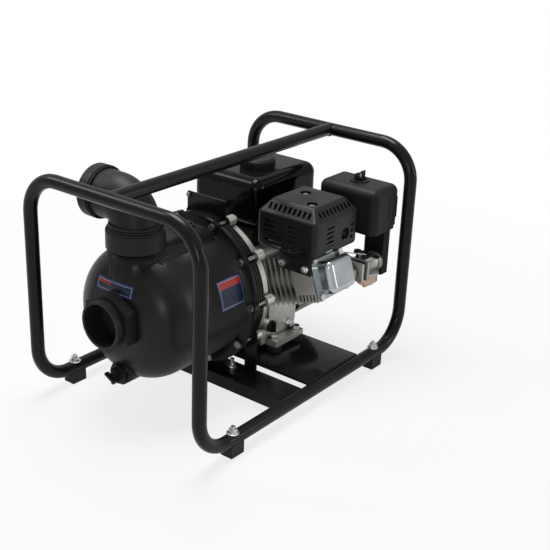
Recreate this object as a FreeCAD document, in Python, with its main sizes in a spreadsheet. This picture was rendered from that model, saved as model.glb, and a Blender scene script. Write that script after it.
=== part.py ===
import FreeCAD, Part
import math
import os
import re
import Sketcher

# Engine-driven centrifugal water pump: a poly casing with 3 inch ports, close coupled to a
# single-cylinder air-cooled engine, both carried in a bent-tube frame.
# Frame of the model, in mm: X runs from the pump end to the engine end, Y across, Z up.
# The origin is on the floor in the middle of the four frame legs.

doc = FreeCAD.newDocument("WaterPump")
sheet = doc.addObject("Spreadsheet::Sheet", "Sizes")

SIZES = {
    # frame
    "tube_d": 25.0, "tube_wall": 2.0, "frame_length": 612.0, "frame_width": 394.5,
    "rail_height": 28.5, "frame_height": 405.5, "bend_r": 70.0, "hoop_joint": -22.0,
    "foot_length": 32.6, "foot_width": 24.9, "foot_height": 24.0,
    "foot_pump_inset": 86.6, "foot_engine_inset": 91.4, "foot_bolt_r": 4.0, "hole_clear": 0.5,
    "deck_rise": 11.0, "deck_sheet": 3.0, "deck_inset": 6.75,
    "cross_start": -77.0, "cross_width": 62.0, "cross_lip": 25.0,
    "plate_start": -2.0, "plate_length": 169.0, "plate_lip": 18.0, "bead_offset": 38.0,
    "damper_height": 12.5, "damper_r": 14.0, "base_span_y": 162.0, "base_span_x": 70.0,
    # pump casing
    "crank_height": 107.0, "shaft_y": 38.0, "case_rise": 30.0,
    "flange_r": 148.0, "flange_front": -58.0, "flange_thick": 12.0,
    "barrel_r": 126.4, "dome_front": -263.0, "dome_round": 73.0, "case_wall": 6.0,
    "bolt_circle": 138.6, "case_bolt_r": 4.0, "case_bolt_length": 66.0,
    "rear_thick": 23.0, "bracket_sheet": 3.0, "seat_gap": 0.3,
    "inlet_rise": 5.0, "port_r": 43.9, "port_bore": 39.0, "port_length": 15.0,
    "hex_across": 100.0, "hex_length": 22.0, "flap_thick": 4.0, "flap_tab": 30.0,
    "neck_x": -210.0, "neck_r": 50.0, "neck_height": 128.0, "thread_r": 47.0,
    "collar_r": 52.5, "collar_height": 35.5, "collar_clear": 0.6, "spigot_height": 20.0,
    "lip_thick": 6.0, "ridge_half": 55.0, "ridge_height": 127.0,
    "elbow_r": 43.0, "elbow_bore": 37.0, "elbow_bend": 44.0, "elbow_straight": 0.5,
    "arm_length": 94.0, "ring_r": 48.0, "ring_length": 24.0,
    "drain_drop": 104.0, "drain_r": 22.0, "drain_face": -255.0, "drain_hole": 12.0,
    "prime_x": -78.0, "prime_r": 13.0,
    # rotor and volute
    "shaft_r": 12.5, "shaft_end": -118.0, "running_gap": 0.05, "impeller_r": 66.0,
    "impeller_back": -78.0, "volute_r": 80.0, "volute_front": -134.0,
    # engine
    "engine_face": 45.0, "cover_thick": 17.0, "case_length": 88.0, "tilt": 18.0,
    "cylinder_x": 106.0, "fin_half": 47.0, "deck_s": 78.0, "head_s": 152.0, "cover_s": 200.0,
    "cover_depth": 38.0, "shroud_length": 108.0, "shroud_r": 106.0,
    "recoil_length": 27.0, "recoil_r": 88.0, "flywheel_r": 82.0,
    # muffler, air cleaner, tank
    "guard_x": 47.0, "guard_y": -160.0, "guard_z": 263.0, "guard_length": 139.0,
    "guard_width": 136.0, "guard_height": 94.0, "guard_slope": 22.0, "guard_sheet": 1.5,
    "carb_y": -152.0, "carb_z": 198.0, "insulator": 47.0, "bowl_offset": 34.0,
    "cleaner_x": 203.0, "cleaner_y": -187.0, "cleaner_z": 283.0, "cleaner_length": 86.0,
    "cleaner_width": 137.0, "cleaner_height": 82.0, "cleaner_wall": 2.5, "duct_length": 22.0,
    "tank_x": 84.0, "tank_y": 5.0, "tank_z": 270.0, "tank_length": 197.0,
    "tank_width": 168.0, "tank_height": 100.0, "tank_round": 22.0, "tank_wall": 1.5,
    "cap_r": 34.3,
    "cap_x": 165.0, "cap_y": 72.0,
}
row = 1
for alias, number in SIZES.items():
    sheet.set("A%d" % row, alias)
    sheet.set("B%d" % row, repr(number))
    sheet.setAlias("B%d" % row, alias)
    row += 1
doc.recompute()

WORDS = re.compile(r"\b(" + "|".join(sorted(SIZES, key=len, reverse=True)) + r")\b")

# Places that several pieces share, as texts on the sheet's aliases.
HALF_W = "(frame_width/2)"
HALF_L = "(frame_length/2)"
BAR_Z = "(rail_height+frame_height)"
DECK = "(rail_height+deck_rise)"
BASE = "(rail_height+deck_rise+damper_height)"
SHAFT = "(rail_height+deck_rise+damper_height+crank_height)"
CASE = "(rail_height+deck_rise+damper_height+crank_height+case_rise)"
INLET = "(rail_height+deck_rise+damper_height+crank_height+case_rise+inlet_rise)"
FLANGE_BACK = "(flange_front+flange_thick)"
REAR_BACK = "(flange_front+flange_thick+rear_thick)"
CASE_START = "(engine_face+cover_thick)"
CASE_END = "(engine_face+cover_thick+case_length)"
SHROUD_END = "(engine_face+cover_thick+case_length+shroud_length)"
NECK_TOP = f"({CASE}+neck_height)"
ARM_Z = f"({CASE}+neck_height+collar_height+elbow_straight+elbow_bend)"
FOOT_PUMP = "(foot_pump_inset-frame_length/2)"
FOOT_ENGINE = "(frame_length/2-foot_engine_inset)"
BOLT_ANGLES = [36 * turn for turn in range(10)]
BRACKET_ANGLES = (72, 108, 216, 324)

X_AXIS = FreeCAD.Vector(1, 0, 0)
Y_AXIS = FreeCAD.Vector(0, 1, 0)
Z_AXIS = FreeCAD.Vector(0, 0, 1)
ALONG = {
    "X": FreeCAD.Rotation(Y_AXIS, 90),
    "Y": FreeCAD.Rotation(X_AXIS, -90),
    "Z": FreeCAD.Rotation(),
}
nodes = []


def sized(text):
    return WORDS.sub(r"Sizes.\1", str(text))


def val(text):
    return float(sheet.evalExpression(str(text)))


def point(*texts):
    return FreeCAD.Vector(*[val(text) for text in texts])


def place(item, at, rotation=FreeCAD.Rotation()):
    item.Placement = FreeCAD.Placement(point(*at), rotation)
    for letter, text in zip("xyz", at):
        item.setExpression("Placement.Base." + letter, sized(text))
    return item


def bind(item, **texts):
    for name, text in texts.items():
        item.setExpression(name, sized(text))
    return item


def rod(radius, height, at, axis="Z"):
    item = doc.addObject("Part::Cylinder", "Rod")
    bind(item, Radius=radius, Height=height)
    return place(item, at, ALONG[axis])


def block(length, width, height, at):
    item = doc.addObject("Part::Box", "Block")
    bind(item, Length=length, Width=width, Height=height)
    return place(item, at)


def cone(bottom, top, height, at, axis="Z"):
    item = doc.addObject("Part::Cone", "Cone")
    bind(item, Radius1=bottom, Radius2=top, Height=height)
    return place(item, at, ALONG[axis])


def hexagon(across, height, at, axis="Z"):
    item = doc.addObject("Part::Prism", "Hexagon")
    item.Polygon = 6
    bind(item, Circumradius=f"({across})/1.7320508", Height=height)
    return place(item, at, ALONG[axis])


def fuse(*items):
    item = doc.addObject("Part::MultiFuse", "Fuse")
    item.Shapes = list(items)
    item.Refine = True
    return item


def cut(base, *tools):
    item = doc.addObject("Part::Cut", "Cut")
    item.Base = base
    item.Tool = tools[0] if len(tools) == 1 else group(*tools)
    item.Refine = True
    return item


def group(*items):
    item = doc.addObject("Part::Compound", "Group")
    item.Links = list(items)
    return item


def rounded(base, radius, picks):
    """Part::Fillet on the edges of base that picks(edge) accepts."""
    doc.recompute()
    item = doc.addObject("Part::Fillet", "Rounded")
    item.Base = base
    size = val(radius)
    chosen = [n for n, edge in enumerate(base.Shape.Edges, 1) if picks(edge)]
    item.Edges = [(n, size, size) for n in chosen]
    return item


def upright(edge):
    first, last = edge.Vertexes[0].Point, edge.Vertexes[-1].Point
    return abs(first.z - last.z) > 1 and (first - last).cross(Z_AXIS).Length < 1e-6


def level_at(height):
    return lambda edge: all(abs(v.Z - height) < 1e-4 for v in edge.Vertexes)


def feature(shape):
    item = doc.addObject("Part::Feature", "Shaped")
    item.Shape = shape
    return item


def node(label, item):
    item.Label = label
    nodes.append(item)
    return item


def sketched(body, role, corners):
    """A closed polygon in one of the body's origin planes, each corner bound to the sheet."""
    sketch = body.newObject("Sketcher::SketchObject", "Outline")
    plane = [f for f in body.Origin.OriginFeatures if f.Role == role][0]
    sketch.AttachmentSupport = [(plane, "")]
    sketch.MapMode = "FlatFace"
    spots = [FreeCAD.Vector(val(u), val(v), 0) for u, v in corners]
    count = len(spots)
    for n, spot in enumerate(spots):
        sketch.addGeometry(Part.LineSegment(spot, spots[(n + 1) % count]), False)
    for n in range(count):
        sketch.addConstraint(Sketcher.Constraint("Coincident", n, 2, (n + 1) % count, 1))
    for n, (u, v) in enumerate(corners):
        for kind, text in (("DistanceX", u), ("DistanceY", v)):
            spot = val(text)
            if abs(spot) < 1e-9:
                other = "PointOnObject"
                axis = -2 if kind == "DistanceX" else -1
                sketch.addConstraint(Sketcher.Constraint(other, n, 1, axis))
                continue
            mark = sketch.addConstraint(Sketcher.Constraint(kind, -1, 1, n, 1, spot))
            sketch.setExpression("Constraints[%d]" % mark, sized(text))
    return sketch


def lathe(corners, at, axis="X", rounds=()):
    """A PartDesign revolution. Corners are (along, radius); rounds are (along, radius, fillet)."""
    body = doc.addObject("PartDesign::Body", "Turned")
    flat = corners if axis == "X" else [(r, a) for a, r in corners]
    sketch = sketched(body, "XY_Plane" if axis == "Y" else "XZ_Plane", flat)
    turn = body.newObject("PartDesign::Revolution", "Turn")
    turn.Profile = sketch
    turn.ReferenceAxis = (sketch, ["H_Axis" if axis == "X" else "V_Axis"])
    turn.Angle = 360
    doc.recompute()
    last = turn
    for along, radius, fillet in rounds:
        spot, reach = val(along), val(radius)
        letter = axis.lower()
        names = []
        for n, edge in enumerate(last.Shape.Edges, 1):
            curve = edge.Curve
            if not isinstance(curve, Part.Circle) or abs(curve.Radius - reach) > 1e-4:
                continue
            if abs(getattr(curve.Center, letter) - spot) < 1e-4:
                names.append("Edge%d" % n)
        soft = body.newObject("PartDesign::Fillet", "Round")
        soft.Base = (last, names)
        soft.setExpression("Radius", sized(fillet))
        doc.recompute()
        last = soft
    return place(body, at)


def pad(role, corners, depth, at):
    """A PartDesign pad of a polygon; YZ goes along +X, XY along +Z and XZ along -Y."""
    body = doc.addObject("PartDesign::Body", "Padded")
    sketch = sketched(body, role, corners)
    rise = body.newObject("PartDesign::Pad", "Pad")
    rise.Profile = sketch
    rise.setExpression("Length", sized(depth))
    return place(body, at)


def bent_path(corners, radius):
    """Straight runs joined by tangent arcs of one radius."""
    edges = []
    start = corners[0]
    for before, corner, after in zip(corners, corners[1:], corners[2:]):
        back = (before - corner).normalize()
        ahead = (after - corner).normalize()
        half = back.getAngle(ahead) / 2
        reach = radius / math.tan(half)
        first = corner + back * reach
        last = corner + ahead * reach
        middle = (back + ahead).normalize()
        mid = corner + middle * (radius / math.sin(half) - radius)
        edges.append(Part.LineSegment(start, first).toShape())
        edges.append(Part.Arc(first, mid, last).toShape())
        start = last
    edges.append(Part.LineSegment(start, corners[-1]).toShape())
    return Part.Wire(edges)


def pipe(path, radius):
    first = path.Edges[0]
    start = first.valueAt(first.FirstParameter)
    heading = first.tangentAt(first.FirstParameter)
    ring = Part.Wire(Part.makeCircle(radius, start, heading))
    return path.makePipeShell([ring], True, False)


def tube(path, outer, inner):
    return pipe(path, outer).cut(pipe(path, inner))


def ring_spot(angle, radius="bolt_circle"):
    """Y and Z texts of a place on the casing's bolt circle."""
    return f"shaft_y+({radius})*cos({angle})", f"{CASE}+({radius})*sin({angle})"


# ---- frame: two hoops bent from one tube each, butt-welded half way along the rails ----

def hoop(end):
    x = val(HALF_L) * end
    y, low, high = val(HALF_W), val("rail_height"), val(BAR_Z)
    joint = val("hoop_joint")
    corners = [
        (joint, -y, low), (x, -y, low), (x, -y, high),
        (x, y, high), (x, y, low), (joint, y, low),
    ]
    path = bent_path([FreeCAD.Vector(*corner) for corner in corners], val("bend_r"))
    shape = tube(path, val("tube_d/2"), val("tube_d/2-tube_wall"))
    foot = val(FOOT_PUMP if end < 0 else FOOT_ENGINE)
    drill = val("foot_bolt_r+hole_clear")
    for side in (-y, y):
        hole = Part.makeCylinder(drill, high, FreeCAD.Vector(foot, side, 0))
        shape = shape.cut(hole.common(Part.makeBox(
            40, 40, 40, FreeCAD.Vector(foot - 20, side - 20, 5))))
    return feature(shape)


node("pump_end_hoop", hoop(-1))
node("engine_end_hoop", hoop(1))

handle = rod("tube_d/2", "frame_length", (f"-{HALF_L}", 0, BAR_Z), "X")
bore = rod("tube_d/2-tube_wall", "frame_length", (f"-{HALF_L}", 0, BAR_Z), "X")
copes = [rod("tube_d/2", "frame_width", (f"{end}*{HALF_L}", f"-{HALF_W}", BAR_Z), "Y")
         for end in (-1, 1)]
node("handle_bar", cut(handle, bore, *copes))


def rail_tools():
    return [rod("tube_d/2", "frame_length",
                (f"-{HALF_L}", f"{side}*{HALF_W}", "rail_height"), "X") for side in (-1, 1)]


REACH = "(frame_width-2*deck_inset)"
cross = pad("XZ_Plane", [
    (0, 0), (0, "cross_lip"), ("cross_width", "cross_lip"), ("cross_width", 0),
    ("cross_width-deck_sheet", 0), ("cross_width-deck_sheet", "cross_lip-deck_sheet"),
    ("deck_sheet", "cross_lip-deck_sheet"), ("deck_sheet", 0),
], REACH, ("cross_start", f"{REACH}/2", f"{DECK}-cross_lip"))
SUPPORT_X = "(cross_start+37)"
SUPPORT_Y = "82"
support_holes = [rod("case_bolt_r+hole_clear", 20, (SUPPORT_X, f"shaft_y+{side}*{SUPPORT_Y}",
                                                    f"{DECK}-10")) for side in (-1, 1)]
node("cross_member", cut(cross, *rail_tools(), *support_holes))

plate = pad("XZ_Plane", [
    (0, 0), (0, "plate_lip"), ("bead_offset", "plate_lip"),
    ("bead_offset+1.5", "plate_lip+2"), ("bead_offset+5.5", "plate_lip+2"),
    ("bead_offset+7", "plate_lip"),
    ("plate_length", "plate_lip"), ("plate_length", 0), ("plate_length-deck_sheet", 0),
    ("plate_length-deck_sheet", "plate_lip-deck_sheet"),
    ("deck_sheet", "plate_lip-deck_sheet"), ("deck_sheet", 0),
], REACH, ("plate_start", f"{REACH}/2", f"{DECK}-plate_lip"))
MOUNT_X = [f"({CASE_START}+case_length/2-base_span_x/2)",
           f"({CASE_START}+case_length/2+base_span_x/2)"]
MOUNT_Y = ["(shaft_y-16-base_span_y/2)", "(shaft_y-16+base_span_y/2)"]
BASE_SPOTS = [(x, y) for x in MOUNT_X for y in MOUNT_Y]
plate_holes = [rod("case_bolt_r+hole_clear", 20, (x, y, f"{DECK}-10")) for x, y in BASE_SPOTS]
node("engine_plate", cut(plate, *rail_tools(), *plate_holes))

FOOT_SPOTS = [(x, f"{side}*{HALF_W}") for x in (FOOT_PUMP, FOOT_ENGINE) for side in (-1, 1)]
feet = []
for x, y in FOOT_SPOTS:
    rubber = block("foot_length", "foot_width", "foot_height",
                   (f"{x}-foot_length/2", f"{y}-foot_width/2", 0))
    saddle = rod("tube_d/2", "foot_length*2", (f"{x}-foot_length", y, "rail_height"), "X")
    shank = rod("foot_bolt_r+hole_clear", "foot_height", (x, y, 0))
    head = rod("foot_bolt_r*2+1", 5, (x, y, 0))
    feet.append(cut(rubber, saddle, shank, head))
node("rubber_feet", group(*feet))
studs = []
nuts = []
for x, y in FOOT_SPOTS:
    studs.append(fuse(rod("foot_bolt_r*2", 3.5, (x, y, 1.5)),
                      rod("foot_bolt_r", "rail_height+tube_d/2+11", (x, y, 1.5))))
    seat = "rail_height+tube_d/2+seat_gap"
    nut = fuse(rod(9, 1.8, (x, y, seat)), hexagon(13, 7.5, (x, y, seat)))
    nuts.append(cut(nut, rod("foot_bolt_r", 20, (x, y, "rail_height+tube_d/2-5"))))
node("foot_bolts", group(*studs))
node("foot_nuts", group(*nuts))

# ---- pump casing: a moulded barrel with a domed front, shelled, with its bosses ----
OUTER = [
    (FLANGE_BACK, 0), (FLANGE_BACK, "flange_r"), ("flange_front", "flange_r"),
    ("flange_front", "barrel_r"), ("dome_front", "barrel_r"), ("dome_front", 0),
]
shell = lathe(OUTER, (0, "shaft_y", CASE), "X", [("dome_front", "barrel_r", "dome_round")])
INNER_R = "(barrel_r-case_wall)"
INNER_X = "(dome_front+case_wall)"
hollow = lathe([(FLANGE_BACK, 0), (FLANGE_BACK, INNER_R), (INNER_X, INNER_R), (INNER_X, 0)],
               (0, "shaft_y", CASE), "X", [(INNER_X, INNER_R, "dome_round-case_wall")])
neck = rod("neck_r", "neck_height-3", ("neck_x", "shaft_y", CASE))
spigot = rod("thread_r", "neck_height+spigot_height", ("neck_x", "shaft_y", CASE))
neck_bore = rod("elbow_bore", "neck_height+60", ("neck_x", "shaft_y", CASE))
ridge = block("flange_front-8-neck_x", "2*ridge_half", 60,
              ("neck_x", "shaft_y-ridge_half", f"{CASE}+ridge_height-60"))
inlet_hole = rod("port_bore+6.8", 60, ("dome_front-20", "shaft_y", INLET), "X")
DRAIN_Z = f"({CASE}-drain_drop)"
drain_boss = rod("drain_r", 40, ("drain_face", "shaft_y", DRAIN_Z), "X")
drain_bore = rod("drain_hole", 80, ("drain_face-5", "shaft_y", DRAIN_Z), "X")
prime_bore = rod("prime_r-4", 40, ("prime_x", "shaft_y", f"{CASE}+ridge_height-35"))
flange_holes = [rod("case_bolt_r+hole_clear", 60, ("flange_front-20",) + ring_spot(angle), "X")
                for angle in BOLT_ANGLES]
solid_case = fuse(shell, neck, spigot, ridge, drain_boss)
node("front_casing", cut(solid_case, hollow, neck_bore, inlet_hole, drain_bore, prime_bore,
                         *flange_holes))

# suction fitting: hexagon collar, round hose stub and a spigot through the dome
HEX_FRONT = "(dome_front-hex_length)"
fitting = fuse(
    rod("port_r", "port_length", (f"{HEX_FRONT}-port_length", "shaft_y", INLET), "X"),
    hexagon("hex_across", "hex_length", (HEX_FRONT, "shaft_y", INLET), "X"),
    rod("port_bore+6.5", "case_wall", ("dome_front", "shaft_y", INLET), "X"))
node("suction_fitting", cut(fitting, rod(
    "port_bore", 120, (f"{HEX_FRONT}-port_length-10", "shaft_y", INLET), "X")))

# rubber flap valve that closes the suction opening from inside
FLAP_X = f"({INNER_X}+seat_gap)"
flap = fuse(rod("port_bore+3", "flap_thick", (FLAP_X, "shaft_y", INLET), "X"),
            block("flap_thick", "flap_tab", "port_bore+8", (FLAP_X, "shaft_y-flap_tab/2", INLET)),
            rod("flap_thick/2", "flap_tab+10", (f"{FLAP_X}+flap_thick/2", "shaft_y-flap_tab/2-5",
                                                f"{INLET}+port_bore+8"), "Y"))
node("check_valve_flap", flap)

# discharge: union collar, elbow and outlet ring
ELBOW_FOOT = f"({NECK_TOP}+spigot_height)"
elbow_path = bent_path([point("neck_x", "shaft_y", ELBOW_FOOT),
                        point("neck_x", "shaft_y", ARM_Z),
                        point("neck_x", "shaft_y+arm_length", ARM_Z)], val("elbow_bend"))
elbow_outer = pipe(elbow_path, val("elbow_r"))
for rise, proud in ((0.5, 5), (5, 4)):
    bead = Part.makeCylinder(val("elbow_r") + proud, 3.5,
                             point("neck_x", "shaft_y", f"{NECK_TOP}+collar_height+{rise}"))
    elbow_outer = elbow_outer.fuse(bead)
lip = Part.makeCylinder(val("thread_r"), val("lip_thick"), point("neck_x", "shaft_y", ELBOW_FOOT))
elbow_inner = pipe(elbow_path, val("elbow_bore"))
node("discharge_elbow", feature(elbow_outer.fuse(lip).cut(elbow_inner).removeSplitter()))
COLLAR_TOP = f"({NECK_TOP}+collar_height)"
collar = lathe([(0, "thread_r+seat_gap"), (0, "collar_r"), ("collar_height-4", "collar_r"),
                ("collar_height-4", "collar_r-2"), ("collar_height", "collar_r-2"),
                ("collar_height", "elbow_r+collar_clear"),
                ("spigot_height+lip_thick+seat_gap", "elbow_r+collar_clear"),
                ("spigot_height+lip_thick+seat_gap", "thread_r+seat_gap")],
               ("neck_x", "shaft_y", NECK_TOP), "Z")
node("union_collar", collar)
RING_Y = "(shaft_y+arm_length-ring_length)"
ring = lathe([(0, "elbow_r"), (0, "ring_r-1.5"), (4, "ring_r-1.5"), (4, "ring_r"),
              ("ring_length", "ring_r"), ("ring_length", "elbow_r")],
             ("neck_x", RING_Y, ARM_Z), "Y")
node("outlet_ring", ring)

# plugs
plug = fuse(
    rod("drain_r-4", 6, ("drain_face-6-seat_gap", "shaft_y", DRAIN_Z), "X"),
    rod("drain_hole-seat_gap", 22, ("drain_face-seat_gap", "shaft_y", DRAIN_Z), "X"),
    block(13, 5, 30, ("drain_face-19-seat_gap", "shaft_y-2.5", f"{DRAIN_Z}-15")))
node("drain_plug", plug)
PRIME_Z = f"({CASE}+ridge_height+seat_gap)"
node("priming_plug", fuse(
    rod("prime_r", 6, ("prime_x", "shaft_y", PRIME_Z)),
    rod("prime_r-4-seat_gap", 20, ("prime_x", "shaft_y", f"{PRIME_Z}-18")),
    hexagon(14, 10, ("prime_x", "shaft_y", PRIME_Z))))

# rear casing: ribbed disc that closes the barrel, bored for the seal
rear_profile = [(FLANGE_BACK, "shaft_r+8"), (FLANGE_BACK, "flange_r")]
for step in range(3):
    groove = f"{FLANGE_BACK}+4.5+{step}*5.5"
    rear_profile += [(groove, "flange_r"), (groove, "flange_r-4"),
                     (f"{groove}+2", "flange_r-4"), (f"{groove}+2", "flange_r")]
rear_profile += [(REAR_BACK, "flange_r-2"), (REAR_BACK, "barrel_r-2"),
                 (f"{REAR_BACK}-8", "barrel_r-6"), (f"{REAR_BACK}-8", "shaft_r+8")]
disc = lathe([(a, 0 if i in (0, len(rear_profile) - 1) else r)
              for i, (a, r) in enumerate(rear_profile)], (0, "shaft_y", CASE))
seal_hole = rod("shaft_r+8", 60, (f"{FLANGE_BACK}-10", "shaft_y", SHAFT), "X")
rear_holes = [rod("case_bolt_r+hole_clear", 60, (f"{FLANGE_BACK}-20",) + ring_spot(angle), "X")
              for angle in BOLT_ANGLES]
node("rear_casing", cut(disc, seal_hole, *rear_holes))

# adapter housing between the rear casing and the engine face
ADAPTER = [
    (f"{REAR_BACK}-8", 60), (f"{REAR_BACK}-8", 90), (f"{REAR_BACK}", 90),
    ("engine_face-14", 72), ("engine_face-12", 80), ("engine_face", 80), ("engine_face", 40),
    ("engine_face-8", 40), ("engine_face-8", 60),
]
node("adapter_housing", lathe(ADAPTER, (0, "shaft_y", SHAFT)))

# bolts of the casing
bolts = []
nut_ring = []
for angle in BOLT_ANGLES:
    y, z = ring_spot(angle)
    bolts.append(fuse(hexagon(13, 5.5, ("flange_front-5.5", y, z), "X"),
                      rod("case_bolt_r", "case_bolt_length", ("flange_front", y, z), "X")))
    step = "bracket_sheet" if angle in BRACKET_ANGLES else "0"
    seat = f"{REAR_BACK}+{step}"
    nut_ring.append(cut(hexagon(13, 6.5, (seat, y, z), "X"),
                        rod("case_bolt_r", 20, (f"{seat}-5", y, z), "X")))
node("casing_bolts", group(*bolts))
node("casing_nuts", group(*nut_ring))

# brackets on the casing bolts
straps = []
for side, angle in ((-1, 216), (1, 324)):
    y, z = ring_spot(angle)
    inner = f"shaft_y+{side}*68"
    outer = f"shaft_y+{side}*126"
    low = f"min({inner};{outer})"
    leg_y = f"({y})-14"
    leg = block("bracket_sheet", 28, f"{z}+14-{DECK}", (REAR_BACK, leg_y, DECK))
    sole = block(f"{REAR_BACK}+bracket_sheet-cross_start-12", 58, "bracket_sheet",
                 ("cross_start+12", low, DECK))
    strap = cut(fuse(leg, sole),
                rod("case_bolt_r+hole_clear", 20, (f"{REAR_BACK}-10", y, z), "X"),
                rod("case_bolt_r+hole_clear", 20,
                    (SUPPORT_X, f"shaft_y+{side}*{SUPPORT_Y}", f"{DECK}-10")))
    straps.append(strap)
node("support_brackets", group(*straps))
support_bolts = []
support_nuts = []
for side in (-1, 1):
    y = f"shaft_y+{side}*{SUPPORT_Y}"
    under = f"{DECK}-deck_sheet"
    over = f"{DECK}+bracket_sheet"
    support_bolts.append(fuse(hexagon(13, 5.5, (SUPPORT_X, y, f"{under}-5.5")),
                              rod("case_bolt_r", 24, (SUPPORT_X, y, under))))
    nut = fuse(rod(9, 1.8, (SUPPORT_X, y, over)), hexagon(13, 7.5, (SUPPORT_X, y, over)))
    support_nuts.append(cut(nut, rod("case_bolt_r", 30, (SUPPORT_X, y, f"{over}-5"))))
node("support_bolts", group(*support_bolts))
node("support_nuts", group(*support_nuts))

left_y, top_bolt_z = ring_spot(108)
right_y, _ = ring_spot(72)
yoke = block("bracket_sheet", f"({right_y})-({left_y})+20", 50,
             (REAR_BACK, f"({left_y})-10", f"{top_bolt_z}-10"))
window = block(20, f"({right_y})-({left_y})-18", 36,
               (f"{REAR_BACK}-5", f"({left_y})+9", f"{top_bolt_z}-11"))
yoke_holes = [rod("case_bolt_r+hole_clear", 20, (f"{REAR_BACK}-10",) + ring_spot(angle), "X")
              for angle in (72, 108)]
node("top_bracket", cut(yoke, window, *yoke_holes))

# ---- rotor: crankshaft, impeller and flywheel turn together ----
SHAFT_LINE = (0, "shaft_y", SHAFT)
shaft = lathe([("shaft_end", 0), ("shaft_end", 9), ("impeller_back", 9),
               ("impeller_back", "shaft_r"), (f"{SHROUD_END}-30", "shaft_r"),
               (f"{SHROUD_END}-30", 8), (f"{SHROUD_END}-6", 8), (f"{SHROUD_END}-6", 0)],
              SHAFT_LINE)
node("crankshaft", shaft)

hub = lathe([("impeller_back-34", 9), ("impeller_back-34", 15), ("impeller_back-6", 22),
             ("impeller_back-6", "impeller_r"), ("impeller_back", "impeller_r"),
             ("impeller_back", 9)], SHAFT_LINE)


def vane(turn):
    """One backward-curved vane, cut from a ring between two offset cylinders."""
    outer, depth = val("impeller_r"), 24
    start = val("impeller_back") - 6 - depth
    ring_r = outer * 0.62
    centre = FreeCAD.Vector(start, outer * 0.55, 0)
    arc = Part.makeCylinder(ring_r, depth + 0.5, centre, X_AXIS)
    arc = arc.cut(Part.makeCylinder(ring_r - 4, depth + 0.5, centre, X_AXIS))
    disc = Part.makeCylinder(outer, depth + 0.5, FreeCAD.Vector(start, 0, 0), X_AXIS)
    half = Part.makeBox(depth + 0.5, 2 * outer, outer, FreeCAD.Vector(start, -outer, 0))
    blade = arc.common(disc).common(half)
    blade = blade.cut(Part.makeCylinder(14, depth + 0.5, FreeCAD.Vector(start, 0, 0), X_AXIS))
    blade = max(blade.Solids, key=lambda solid: solid.Volume)
    return blade.rotate(FreeCAD.Vector(), X_AXIS, turn)


vanes = feature(Part.makeCompound([vane(90 * n) for n in range(4)]))
place(vanes, SHAFT_LINE)
node("impeller", fuse(hub, vanes))
flywheel = lathe([(f"{CASE_END}+24", "shaft_r"), (f"{CASE_END}+24", "flywheel_r"),
                  (f"{CASE_END}+50", "flywheel_r"), (f"{CASE_END}+50", 46),
                  (f"{CASE_END}+38", 30), (f"{CASE_END}+38", "shaft_r")], SHAFT_LINE)


def fan_blade(turn):
    reach = val("flywheel_r")
    inner = reach - 32
    blade = Part.makeBox(16.5, 4, reach - 2 - inner, FreeCAD.Vector(-0.5, -2, inner))
    return blade.rotate(FreeCAD.Vector(), X_AXIS, turn)


fan = feature(Part.makeCompound([fan_blade(45 * n) for n in range(8)]))
place(fan, (f"{CASE_END}+50", "shaft_y", SHAFT))
node("flywheel", fuse(flywheel, fan))

# volute: open-fronted scroll insert round the impeller, with its eye plate
volute = lathe([("volute_front", 30), ("volute_front", "volute_r+4"),
                (f"{FLANGE_BACK}-seat_gap", "volute_r+4"), (f"{FLANGE_BACK}-seat_gap", "volute_r"),
                ("volute_front+4", "volute_r"), ("volute_front+4", 30)], SHAFT_LINE)
throat = block(40, 60, 60, ("impeller_back-36", "shaft_y-86", f"{SHAFT}+30"))
node("volute", cut(volute, throat))
node("shaft_seal", lathe([(f"{FLANGE_BACK}-12", "shaft_r+running_gap"),
                          (f"{FLANGE_BACK}-12", "shaft_r+8-running_gap"),
                          (f"{REAR_BACK}-8", "shaft_r+8-running_gap"),
                          (f"{REAR_BACK}-8", "shaft_r+running_gap")], SHAFT_LINE))

# ---- engine: crankcase casting with the finned cylinder ----
LEAN = FreeCAD.Rotation(X_AXIS, 90 - val("tilt"))


def leaned(item):
    """Stands a piece made round the Z axis on the cylinder's axis."""
    return place(item, ("cylinder_x", "shaft_y", SHAFT), LEAN)


def lean_y(s, up):
    return f"(shaft_y-({s})*cos(tilt)+({up})*sin(tilt))"


def lean_z(s, up):
    return f"({SHAFT}+({s})*sin(tilt)+({up})*cos(tilt))"


case_outline = [
    ("shaft_y-108", BASE), ("shaft_y+77", BASE), ("shaft_y+77", f"{BASE}+12"),
    ("shaft_y+56", f"{BASE}+12"), ("shaft_y+54", f"{SHAFT}+28"), ("shaft_y+34", f"{SHAFT}+62"),
    ("shaft_y-20", f"{SHAFT}+74"),
    (lean_y("deck_s", "fin_half"), lean_z("deck_s", "fin_half")),
    (lean_y("deck_s", "-fin_half"), lean_z("deck_s", "-fin_half")),
    ("shaft_y-85", f"{BASE}+12"), ("shaft_y-108", f"{BASE}+12"),
]
case_block = pad("YZ_Plane", case_outline, "case_length", (CASE_START, 0, 0))
fin_plates = [rod("fin_half-7", "head_s-deck_s+1", (0, 0, "deck_s-1"))]
for n in range(6):
    fin_plates.append(block("case_length", "2*fin_half", 3,
                            ("-case_length/2", "-fin_half", f"deck_s+8+{n}*(head_s-deck_s-11)/5")))
finned = leaned(fuse(*fin_plates))
case_bore = rod("shaft_r+running_gap", "case_length+40", (f"{CASE_START}-20", "shaft_y", SHAFT), "X")
foot_holes = [rod("case_bolt_r+hole_clear", 30, (x, y, f"{BASE}-5")) for x, y in BASE_SPOTS]
node("crankcase", cut(fuse(case_block, finned), case_bore, *foot_holes))

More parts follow.
